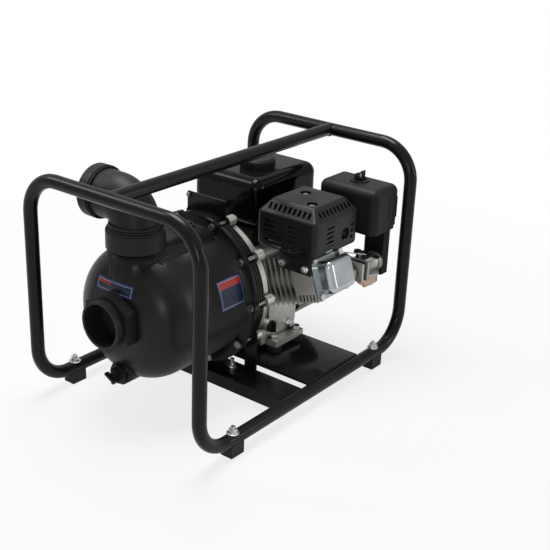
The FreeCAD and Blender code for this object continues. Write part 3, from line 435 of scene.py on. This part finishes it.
trim = drum(outside_casing, halves_meet - rim_depth, halves_meet + 0.001, casing_axis_y,
            casing_axis_z)
carved(trim, drum(rim_radius, halves_meet - 0.02, halves_meet + 0.002, casing_axis_y,
                  casing_axis_z))
for y, z in bolt_spots:
    carved(trim, drum(ear_radius, halves_meet - 0.02, halves_meet + 0.002, y, z, sides=40))
front_half = copied("front_casing")
carved(front_half, trim)
settle(front_half, "front_half", casing_poly, smooth=35)
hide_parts("front_casing")

rear_half = copied("rear_casing")
trim = drum(outside_casing, halves_meet - 0.001, far_face + 0.001, casing_axis_y,
            casing_axis_z)
carved(trim, drum(rim_radius, halves_meet - 0.01, far_face + 0.01, casing_axis_y,
                  casing_axis_z))
carved(rear_half, trim)
for groove in groove_starts:
    trim = drum(outside_casing, halves_meet + groove - half_groove,
                halves_meet + groove + half_groove, casing_axis_y, casing_axis_z)
    carved(trim, drum(groove_floor, halves_meet, far_face, casing_axis_y, casing_axis_z))
    carved(rear_half, trim)
for y, z in bolt_spots:
    carved(rear_half, drum(notch_radius, halves_meet + 0.002, far_face + 0.001, y, z,
                           sides=32))
settle(rear_half, "rear_half", casing_poly, smooth=35)
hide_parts("rear_casing")

# ---- Top bracket --------------------------------------------------------------------
# Flat steel plate stood on the two top casing bolts, with a small bolt in its corner.

bracket_low, bracket_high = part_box("top_bracket")
eye_height, eye_radius, plate_height = 0.3208, 0.0102, 0.0400
near_eye, far_eye, plate_far_edge = -0.0048, 0.0808, 0.0880
top_plate = block((bracket_low[0], near_eye, eye_height),
                  (bracket_high[0], plate_far_edge, eye_height + plate_height))
for y in (near_eye, far_eye):
    carved(top_plate, drum(eye_radius, bracket_low[0], bracket_high[0], y, eye_height,
                           sides=40), "UNION")
eased(top_plate, 0.0006)
settle(top_plate, "top_plate", tube_enamel)
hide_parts("top_bracket")
bolt_head = 0.0045
corner_bolt = drum(0.0048, bracket_low[0] - bolt_head, bracket_low[0], 0.0835, 0.3545,
                   sides=6)
eased(corner_bolt, 0.0007)
settle(corner_bolt, "corner_bolt", dull_zinc)

# ---- Casing plates ------------------------------------------------------------------
# Two thin printed foil plates, left blank, stuck on the dome above the suction port and
# on the side of the casing: a blue field with a pale line round it and a red band.

plate_blue = coat("plate_blue", (0.012, 0.055, 0.20), 0.3, grain=500, depth=0.00002,
                  shift=0.08, specular=0.45)
plate_line = coat("plate_line", (0.50, 0.52, 0.56), 0.35, grain=500, depth=0.00002, shift=0.05)
plate_red = coat("plate_red", (0.42, 0.035, 0.03), 0.32, grain=500, depth=0.00002, shift=0.06)
plate_field = coat("plate_field", (0.010, 0.020, 0.055), 0.28, grain=500, depth=0.00002,
                   shift=0.1)


def foil_plate(middle, wide, tall, turn, band, reach):
    """A flat blank foil plate in front of the casing, turned to face away from it."""
    bpy.ops.mesh.primitive_grid_add(x_subdivisions=100, y_subdivisions=60, size=1)
    foil = bpy.context.object
    foil.scale = (wide, tall, 1)
    bpy.ops.object.transform_apply(location=False, rotation=False, scale=True)
    for skin in (plate_blue, plate_line, plate_red, plate_field):
        foil.data.materials.append(skin)
    border, line = 0.0030, 0.0008
    for face in foil.data.polygons:
        u, v = abs(face.center[0]), abs(face.center[1])
        inside = min(wide / 2 - u, tall / 2 - v)
        if inside < border:
            face.material_index = 0
        elif inside < border + line:
            face.material_index = 1
        elif face.center[1] > tall / 2 - band and face.center[0] < reach:
            face.material_index = 2
        else:
            face.material_index = 3
    foil.matrix_world = Matrix.Translation(middle) @ turn
    return foil


def laid_on(foil, host, name, lift=0.0004):
    """Presses a foil plate on its host along its own normal and gives it thickness."""
    alone(foil)
    press = foil.modifiers.new("press", "SHRINKWRAP")
    press.target = host
    press.wrap_method = "PROJECT"
    press.use_project_z = True
    press.use_positive_direction = True
    press.use_negative_direction = True
    press.project_limit = 0.08
    press.offset = lift
    bpy.ops.object.modifier_apply(modifier="press")
    wall = foil.modifiers.new("foil", "SOLIDIFY")
    wall.thickness = 0.0003
    bpy.ops.object.modifier_apply(modifier="foil")
    skins = list(foil.data.materials)
    indices = [face.material_index for face in foil.data.polygons]
    settle(foil, name, skins[0])
    foil.data.materials.clear()
    for skin in skins:
        foil.data.materials.append(skin)
    for face, index in zip(foil.data.polygons, indices):
        face.material_index = index


front = nodes["front_casing"]
facing_out = Matrix(((0, 0, -1), (-1, 0, 0), (0, 1, 0))).to_4x4()
dome_spot = (-0.270, 0.041, 0.2535)
dome_plate = foil_plate(dome_spot, 0.086, 0.0225, facing_out, band=0.0095, reach=-0.008)
laid_on(dome_plate, front, "dome_plate")
plate_angle = math.radians(17)
lean = Matrix(((1, 0, 0), (0, math.sin(plate_angle), -math.cos(plate_angle)),
               (0, math.cos(plate_angle), math.sin(plate_angle)))).to_4x4()
stand_off = barrel_radius + 0.012
side_spot = (-0.0925, casing_axis_y - stand_off * math.cos(plate_angle),
             casing_axis_z + stand_off * math.sin(plate_angle))
side_plate = foil_plate(side_spot, 0.064, 0.054, lean, band=0.0165, reach=0.064)
laid_on(side_plate, front, "side_plate")

# ---- Drain plug wing ----------------------------------------------------------------
# The bar moulded across the face of the drain plug, gripped to unscrew it by hand.

low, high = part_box("drain_plug")
wing_proud, wing_turn = 0.0035, math.radians(28)
bpy.ops.mesh.primitive_cube_add(size=1, location=(low[0] - wing_proud, (low[1] + high[1]) / 2,
                                                  (low[2] + high[2]) / 2),
                                rotation=(wing_turn, 0, 0))
wing = bpy.context.object
wing.scale = (0.010, 0.026, 0.0055)
eased(wing, 0.0022, 4)
settle(wing, "drain_plug_wing", port_poly, body="drain_plug")

# ---- Engine castings ----------------------------------------------------------------
# Crankcase, side cover, head and adapter are die cast aluminium: a sand bright skin with
# pores, with painted shade darkening the corners and crevices.

cast_aluminium = coat("cast_aluminium", (0.60, 0.585, 0.555), 0.42, metallic=0.75, grain=900,
                      depth=0.00045, shift=0.34, patch=30)
tree = cast_aluminium.node_tree
shader = tree.nodes["Principled BSDF"]
unshaded_colour = shader.inputs["Base Color"].links[0].from_socket
# Painted shade: ambient occlusion blends the aluminium towards near black in corners and
# crevices.
corner = tree.nodes.new("ShaderNodeAmbientOcclusion")
corner.samples = 8
corner.inputs["Distance"].default_value = 0.012
painted_shade_mask = tree.nodes.new("ShaderNodeMapRange")
painted_shade_mask.inputs["From Min"].default_value = 0.25
painted_shade_mask.inputs["From Max"].default_value = 0.85
tree.links.new(corner.outputs["AO"], painted_shade_mask.inputs["Value"])
painted_corner_shade = tree.nodes.new("ShaderNodeMix")
painted_corner_shade.data_type = "RGBA"
painted_corner_shade.inputs["A"].default_value = (0.035, 0.032, 0.028, 1)
tree.links.new(painted_shade_mask.outputs["Result"], painted_corner_shade.inputs["Factor"])
tree.links.new(unshaded_colour, painted_corner_shade.inputs["B"])
tree.links.new(painted_corner_shade.outputs["Result"], shader.inputs["Base Color"])
dress(cast_aluminium, "crankcase", "crankcase_cover", "cylinder_head", "adapter_housing")

# ---- Carburettor --------------------------------------------------------------------
# Die cast zinc body with a flange at the engine end and a horn at the air cleaner end,
# a pressed, copper plated bowl under it, and the brass drain screw of the bowl.

carb_zinc = coat("carb_zinc", (0.47, 0.455, 0.43), 0.36, metallic=0.6, grain=900,
                 depth=0.0002, shift=0.22, patch=50)
copper_plate = coat("copper_plate", (0.52, 0.36, 0.27), 0.3, metallic=1.0, grain=500,
                    depth=0.0001)
brass = coat("brass", (0.62, 0.47, 0.20), 0.3, metallic=1.0, grain=500, depth=0.0001)


def upright(radius, start, stop, x, y, sides=64, top=None):
    """A closed cylinder or cone along Z from start to stop."""
    bpy.ops.mesh.primitive_cone_add(vertices=sides, radius1=radius,
                                    radius2=radius if top is None else top,
                                    depth=stop - start, location=(x, y, (start + stop) / 2))
    piece = bpy.context.object
    bpy.ops.object.transform_apply(location=True, rotation=True, scale=True)
    return piece


carb_low, carb_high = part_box("carburettor")
throat_y, throat_z, bowl_x = -0.156, 0.204, 0.234
body_radius, horn_radius, throat_radius, bowl_radius = 0.0165, 0.0200, 0.0135, 0.0236
flange_sheet, horn_length, lid_top = 0.006, 0.010, 0.2225
carburettor = drum(body_radius, carb_low[0], carb_high[0], throat_y, throat_z, sides=64)
flange = block((carb_low[0], throat_y - 0.025, throat_z - 0.019),
               (carb_low[0] + flange_sheet, throat_y + 0.025, throat_z + 0.019))
horn = drum(horn_radius, carb_high[0] - horn_length, carb_high[0], throat_y, throat_z,
            sides=64)
lid = block((0.208, throat_y - 0.012, throat_z), (0.244, throat_y + 0.014, lid_top))
bowl_seat = upright(0.0250, 0.184, 0.191, bowl_x, throat_y)
bowl_stem = upright(0.0120, 0.186, 0.204, bowl_x, throat_y)
for tool in (flange, horn, lid, bowl_seat, bowl_stem):
    carved(carburettor, tool, "UNION")
carved(carburettor, drum(throat_radius, carb_high[0] - 0.020, carb_high[0] + 0.002, throat_y,
                         throat_z, sides=64))
eased(carburettor, 0.0009)
settle(carburettor, "carburettor_body", carb_zinc)
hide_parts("carburettor")
bowl = upright(0.0160, 0.163, 0.171, bowl_x, throat_y, top=bowl_radius)
carved(bowl, upright(bowl_radius, 0.1709, 0.1838, bowl_x, throat_y), "UNION")
eased(bowl, 0.0012, 3)
settle(bowl, "carburettor_bowl", copper_plate)
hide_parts("float_bowl")
bowl_nut = upright(0.0060, 0.155, 0.1632, bowl_x, throat_y, sides=6)
eased(bowl_nut, 0.0006)
settle(bowl_nut, "carburettor_bowl_screw", brass)
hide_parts("bowl_screw")

# ---- Inlet runner -------------------------------------------------------------------
# The port cast on the head runs out to the carburettor, with a thick black heat spacer
# clamped between their flanges.

runner_low, runner_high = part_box("intake_insulator")
spacer_length, runner_flange = 0.010, 0.006
runner_end = runner_high[0] - spacer_length
runner = drum(0.0150, runner_low[0] - 0.006, runner_end, throat_y + 0.002,
              throat_z - 0.004, sides=48)
carved(runner, block((runner_end - runner_flange, throat_y - 0.023, throat_z - 0.018),
                     (runner_end, throat_y + 0.023, throat_z + 0.018)), "UNION")
eased(runner, 0.0009)
settle(runner, "inlet_runner", cast_aluminium)
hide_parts("intake_insulator")
spacer_skin = coat("spacer_black", (0.012, 0.012, 0.012), 0.5, specular=0.2)
spacer = block((runner_end, throat_y - 0.021, throat_z - 0.0185),
               (runner_high[0], throat_y + 0.021, throat_z + 0.0185))
eased(spacer, 0.0008)
settle(spacer, "heat_spacer", spacer_skin)

# ---- Adapter spider -----------------------------------------------------------------
# The die cast ring between pump and engine: a rim, ten lugs that take the casing bolts,
# and a rib from each lug to the sleeve. Its nuts stand on the far side.

spider_start, spider_stop = far_face + 0.0033, far_face + 0.0223
rim_outside, rim_inside, lug_radius = 0.1320, 0.1240, 0.0098
rib_start, rib_stop, half_rib = 0.088, 0.1262, 0.003
nut_radius, nut_height = 0.0075, 0.0065
spider = drum(rim_outside, spider_start, spider_stop, casing_axis_y, casing_axis_z)
carved(spider, drum(rim_inside, spider_start - 0.01, spider_stop + 0.01, casing_axis_y,
                    casing_axis_z))
spider_nuts = []
for turn, (y, z) in enumerate(bolt_spots):
    carved(spider, drum(lug_radius, spider_start, spider_stop, y, z, sides=40), "UNION")
    rib = block((spider_start + 0.002, rib_start, -half_rib),
                (spider_stop - 0.003, rib_stop, half_rib))
    rib.rotation_euler = (math.tau * turn / bolt_count, 0, 0)
    rib.location = (0, casing_axis_y, casing_axis_z)
    bpy.ops.object.transform_apply(location=True, rotation=True, scale=True)
    carved(spider, rib, "UNION")
    nut = drum(nut_radius, spider_stop, spider_stop + nut_height, y, z, sides=6)
    eased(nut, 0.0006)
    spider_nuts.append(nut)
eased(spider, 0.0006)
settle(spider, "adapter_spider", cast_aluminium)
nut_ring = joined(spider_nuts)
settle(nut_ring, "spider_nuts", dull_zinc)
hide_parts("casing_nuts")

# ---- Valve cover --------------------------------------------------------------------
# Deep drawn steel cover, bright zinc plated with a blue passivate, on four flange bolts.

pressed_zinc = coat("pressed_zinc", (0.50, 0.54, 0.55), 0.24, metallic=1.0, grain=1500,
                    depth=0.00002, shift=0.2, patch=22)
dress(pressed_zinc, "valve_cover")

# ---- Rotating and hidden pieces -----------------------------------------------------
# Crankshaft and seal are ground bright, the flywheel and the muffler body are dark, and
# the air filter is a block of open grey foam.

turned_steel = coat("turned_steel", (0.55, 0.55, 0.56), 0.25, metallic=1.0, grain=500)
dress(turned_steel, "crankshaft", "shaft_seal")
dark_steel = coat("dark_steel", (0.10, 0.092, 0.085), 0.5, metallic=1.0, grain=400,
                  shift=0.4)
dress(dark_steel, "muffler", "flywheel")
foam = coat("foam", (0.10, 0.10, 0.09), 0.9, grain=400, depth=0.002)
dress(foam, "filter_element")

# ---- Shrouds and straps -------------------------------------------------------------
# The fan shroud, the starter cover and the tank straps are pressed sheet with a satin
# black stoving finish.

shroud_black = coat("shroud_black", (0.008, 0.008, 0.008), 0.3, grain=1200, depth=0.0001,
                    specular=0.22, dust=0.04)
dress(shroud_black, "fan_shroud", "recoil_cover", "tank_brackets")

# ---- Muffler guard ------------------------------------------------------------------
# Box pressed from sheet in heat proof black over the silencer, with sloped shoulders,
# louvred on two sides and along them, held by two screws that stand in cups in its top.

heat_black = coat("heat_black", (0.0110, 0.0107, 0.0100), 0.33, grain=1500, depth=0.0001,
                  specular=0.24, dust=0.06)
dress(heat_black, "muffler_guard")
low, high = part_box("muffler_guard")
shoulder_drop, shoulder_reach, guard_sheet = 0.0190, 0.0165, 0.0015
guard = block(low, (high[0], high[1], high[2] - shoulder_drop))
for edge in guard.data.edges:
    ends = [guard.data.vertices[v].co for v in edge.vertices]
    edge.select = abs(ends[0][2] - ends[1][2]) > 0.01
bpy.ops.object.mode_set(mode="EDIT")
bpy.ops.mesh.select_mode(type="EDGE")
bpy.ops.mesh.bevel(offset=0.009, segments=6)
bpy.ops.mesh.select_all(action="DESELECT")
bpy.ops.object.mode_set(mode="OBJECT")
for face in guard.data.polygons:
    face.select = face.normal[2] > 0.9
bpy.ops.object.mode_set(mode="EDIT")
bpy.ops.mesh.select_mode(type="FACE")
bpy.ops.mesh.extrude_region_move(TRANSFORM_OT_translate={"value": (0, 0, shoulder_drop)})
bpy.ops.transform.resize(
    value=(1 - 2 * shoulder_reach / (high[0] - low[0]),
           1 - 2 * shoulder_reach / (high[1] - low[1]), 1),
    center_override=((low[0] + high[0]) / 2, (low[1] + high[1]) / 2, high[2]))
bpy.ops.mesh.select_all(action="DESELECT")
bpy.ops.object.mode_set(mode="OBJECT")
eased(guard, 0.0016, 2)
for face in guard.data.polygons:
    face.select = face.normal[2] < -0.9
bpy.ops.object.mode_set(mode="EDIT")
bpy.ops.mesh.select_mode(type="FACE")
bpy.ops.mesh.delete(type="FACE")
bpy.ops.object.mode_set(mode="OBJECT")
sheet = guard.modifiers.new("sheet", "SOLIDIFY")
sheet.thickness = guard_sheet
bpy.ops.object.modifier_apply(modifier="sheet")

first_row, row_pitch, row_height = 0.2690, 0.0092, 0.0042
cut_out, cut_in = 0.002, 0.003
louvres = []
for row in range(6):
    height = first_row + row_pitch * row
    louvres.append(block((0.084, low[1] - cut_out, height),
                         (0.107, low[1] + cut_in, height + row_height)))
    for near, far in ((-0.084, -0.042), (-0.144, -0.099)):
        louvres.append(block((low[0] - cut_out, near, height),
                             (low[0] + cut_in, far, height + row_height)))
for height in (0.279, 0.291, 0.303):
    louvres.append(block((0.1625, low[1] - cut_out, height),
                         (0.1695, low[1] + cut_in, height + 0.0065)))
half_slit, slit_out, slit_in = 0.0027, 0.001, 0.0150
slit_foot, slit_top = high[2] - 0.0180, high[2] - 0.0030
for step in range(9):
    middle = -0.137 + 0.0112 * step
    louvres.append(block((low[0] - slit_out, middle - half_slit, slit_foot),
                         (low[0] + slit_in, middle + half_slit, slit_top)))
    middle = 0.074 + 0.0115 * step
    if middle < 0.168:
        louvres.append(block((middle - half_slit, low[1] - slit_out, slit_foot),
                             (middle + half_slit, low[1] + slit_in, slit_top)))
bpy.ops.mesh.primitive_cylinder_add(vertices=48, radius=0.0125, depth=0.010,
                                    location=(0.144, low[1], 0.293),
                                    rotation=(math.pi / 2, 0, 0))
louvres.append(bpy.context.object)
cup_spots = ((0.132, -0.073), (0.087, -0.121))
cup_hole, cup_outside, cup_inside, cup_depth = 0.0110, 0.0112, 0.0100, 0.0070
for x, y in cup_spots:
    bpy.ops.mesh.primitive_cylinder_add(vertices=48, radius=cup_hole, depth=0.010,
                                        location=(x, y, high[2]))
    louvres.append(bpy.context.object)
carved(guard, joined(louvres))
settle(guard, "louvred_guard", heat_black, smooth=35)
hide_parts("muffler_guard")

cups, heads = [], []
for x, y in cup_spots:
    bpy.ops.mesh.primitive_cylinder_add(vertices=48, radius=cup_outside, depth=cup_depth,
                                        location=(x, y, high[2] - 0.0036))
    cup = bpy.context.object
    bpy.ops.mesh.primitive_cylinder_add(vertices=48, radius=cup_inside, depth=cup_depth,
                                        location=(x, y, high[2] - 0.0024))
    carved(cup, bpy.context.object)
    cups.append(cup)
    bpy.ops.mesh.primitive_cylinder_add(vertices=32, radius=0.0048, depth=0.0040,
                                        location=(x, y, high[2] - 0.0042))
    head = bpy.context.object
    carved(head, block((x - 0.008, y - 0.0006, high[2] - 0.0034),
                       (x + 0.008, y + 0.0006, high[2] + 0.004)))
    eased(head, 0.0006)
    heads.append(head)
# The cups take the darker shroud black instead of the guard's heat black: painted shade inside
# the recesses.
settle(joined(cups), "guard_cups", shroud_black)
screw_heads = joined(heads)
settle(screw_heads, "guard_screw_heads", bright_zinc)
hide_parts("guard_screws")

# ---- Exhaust shield -----------------------------------------------------------------
# Black steel plate under the guard that shades the exhaust flange, with its two nuts.

shield = block((0.0540, -0.150, 0.229), (0.0558, -0.074, 0.262))
eased(shield, 0.0006)
settle(shield, "exhaust_shield_plate", heat_black)
stud_radius, stud_height = 0.0035, 0.242
flange_nuts = []
for y in (-0.138, -0.0865):
    stem = drum(stud_radius, 0.0430, 0.0560, y, stud_height, sides=24)
    nut = drum(0.0078, 0.0475, 0.0540, y, stud_height, sides=6)
    carved(nut, stem, "UNION")
    eased(nut, 0.0006)
    flange_nuts.append(nut)
settle(joined(flange_nuts), "exhaust_nuts", bright_zinc)

# ---- Moulded black pieces -----------------------------------------------------------
# Air cleaner, fuel cap, oil filler, recoil handle and wing nut are moulded in a textured
# black plastic.

moulded_black = coat("moulded_black", (0.0115, 0.0112, 0.0108), 0.47, grain=1300,
                     depth=0.00014, specular=0.18, dust=0.07)
dress(moulded_black, "fuel_cap", "air_cleaner_cover", "air_cleaner_base", "recoil_handle",
      "oil_filler_plug", "wing_nut")

# ---- Air cleaner details ------------------------------------------------------------
# A dished boss round the wing nut, and an arched rib on the side of the cover, both
# moulded with it.

low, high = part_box("air_cleaner_cover")
stud_low, stud_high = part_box("cleaner_stud")
stud_x, stud_y = (stud_low[0] + stud_high[0]) / 2, (stud_low[1] + stud_high[1]) / 2
bpy.ops.mesh.primitive_cylinder_add(vertices=64, radius=0.0185, depth=0.0036,
                                    location=(0, 0, 0), end_fill_type="NGON")
boss = bpy.context.object
bpy.ops.object.mode_set(mode="EDIT")
bpy.ops.mesh.select_all(action="DESELECT")
bpy.ops.object.mode_set(mode="OBJECT")
for face in boss.data.polygons:
    face.select = face.normal[2] > 0.9
bpy.ops.object.mode_set(mode="EDIT")
bpy.ops.mesh.select_mode(type="FACE")
bpy.ops.mesh.inset(thickness=0.0035)
bpy.ops.mesh.inset(thickness=0.003, depth=-0.0026)
bpy.ops.object.mode_set(mode="OBJECT")
eased(boss, 0.0007, 3)
boss.location = (stud_x, stud_y, high[2] + 0.0010)
settle(boss, "cleaner_boss", moulded_black, body="cleaner_cover")

arch_radius, arch_leg = 0.0135, 0.036
bpy.ops.mesh.primitive_torus_add(location=(0, 0, 0), rotation=(math.pi / 2, 0, 0),
                                 major_segments=64, minor_segments=12,
                                 major_radius=arch_radius, minor_radius=0.0013)
arch = bpy.context.object
bpy.ops.object.transform_apply(location=False, rotation=True, scale=False)
bpy.ops.object.mode_set(mode="EDIT")
bpy.ops.mesh.select_all(action="SELECT")
bpy.ops.mesh.bisect(plane_co=(0, 0, 0), plane_no=(0, 0, 1), clear_inner=True)
bpy.ops.mesh.select_all(action="DESELECT")
bpy.ops.object.mode_set(mode="OBJECT")
for edge in arch.data.edges:
    edge.select = all(abs(arch.data.vertices[v].co[2]) < 0.0001 for v in edge.vertices)
bpy.ops.object.mode_set(mode="EDIT")
bpy.ops.mesh.select_mode(type="EDGE")
bpy.ops.mesh.extrude_region_move(TRANSFORM_OT_translate={"value": (0, 0, -arch_leg)})
bpy.ops.mesh.edge_face_add()
bpy.ops.mesh.select_all(action="SELECT")
bpy.ops.mesh.normals_make_consistent(inside=False)
bpy.ops.object.mode_set(mode="OBJECT")
arch.location = (high[0] - 0.024, low[1] + 0.0002, high[2] - 0.030)
settle(arch, "cleaner_arch", moulded_black, body="cleaner_cover", smooth=60)

# ---- Fuel tank ----------------------------------------------------------------------
# Pressed steel tank in deep gloss black, with a ribbed plastic cap on its neck.

tank_enamel = coat("tank_enamel", (0.0028, 0.0028, 0.0028), 0.10, grain=200, depth=0.0001,
                   blur=0.03, specular=0.13, dust=0.03)
dress(tank_enamel, "fuel_tank")

low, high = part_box("fuel_cap")
cap_x, cap_y = (low[0] + high[0]) / 2, (low[1] + high[1]) / 2
cap_radius = (high[0] - low[0]) / 2
rib_count, rib_share = 32, 0.72
ribs = []
for turn in range(rib_count):
    angle = math.tau * turn / rib_count
    bpy.ops.mesh.primitive_cube_add(size=1, rotation=(0, 0, angle), location=(
        cap_x + cap_radius * math.cos(angle), cap_y + cap_radius * math.sin(angle),
        (low[2] + high[2]) / 2 - 0.0005))
    rib = bpy.context.object
    rib.scale = (0.0026, 0.0030, (high[2] - low[2]) * rib_share)
    eased(rib, 0.0009)
    ribs.append(rib)
settle(joined(ribs), "fuel_cap_ribs", moulded_black, body="fuel_cap")

# ---- Linkage ------------------------------------------------------------------------
# Choke and throttle levers on top of the carburettor, and the thin governor rod that
# runs back to the cylinder.

spring_wire = coat("spring_wire", (0.45, 0.44, 0.42), 0.35, metallic=1.0, grain=500,
                   depth=0.00005)
half_lever, lever_reach, lever_sheet = 0.0055, 0.036, 0.0032
lever_pivots = ((0.226, -0.152, 0.004), (0.211, -0.148, 0.011))
arms = []
for x, y, rise in lever_pivots:
    arm = block((x - half_lever, y - lever_reach, lid_top + rise),
                (x + half_lever, y + 0.006, lid_top + rise + lever_sheet))
    bpy.ops.mesh.primitive_cylinder_add(vertices=32, radius=0.0075, depth=0.0050,
                                        location=(x, y, lid_top + rise + lever_sheet / 2))
    carved(arm, bpy.context.object, "UNION")
    bpy.ops.mesh.primitive_cylinder_add(vertices=24, radius=0.0030, depth=rise + 0.012,
                                        location=(x, y, lid_top + rise / 2))
    carved(arm, bpy.context.object, "UNION")
    eased(arm, 0.0006)
    arms.append(arm)
settle(joined(arms), "carburettor_levers", moulded_black)

rod_start = Vector((0.211, -0.180, lid_top + 0.013))
rod_stop = Vector((0.176, -0.112, 0.236))
run = rod_stop - rod_start
bpy.ops.mesh.primitive_cylinder_add(vertices=16, radius=0.0012, depth=run.length,
                                    location=(rod_start + rod_stop) / 2)
governor_rod = bpy.context.object
governor_rod.rotation_euler = run.to_track_quat("Z", "Y").to_euler()
settle(governor_rod, "governor_rod", spring_wire)
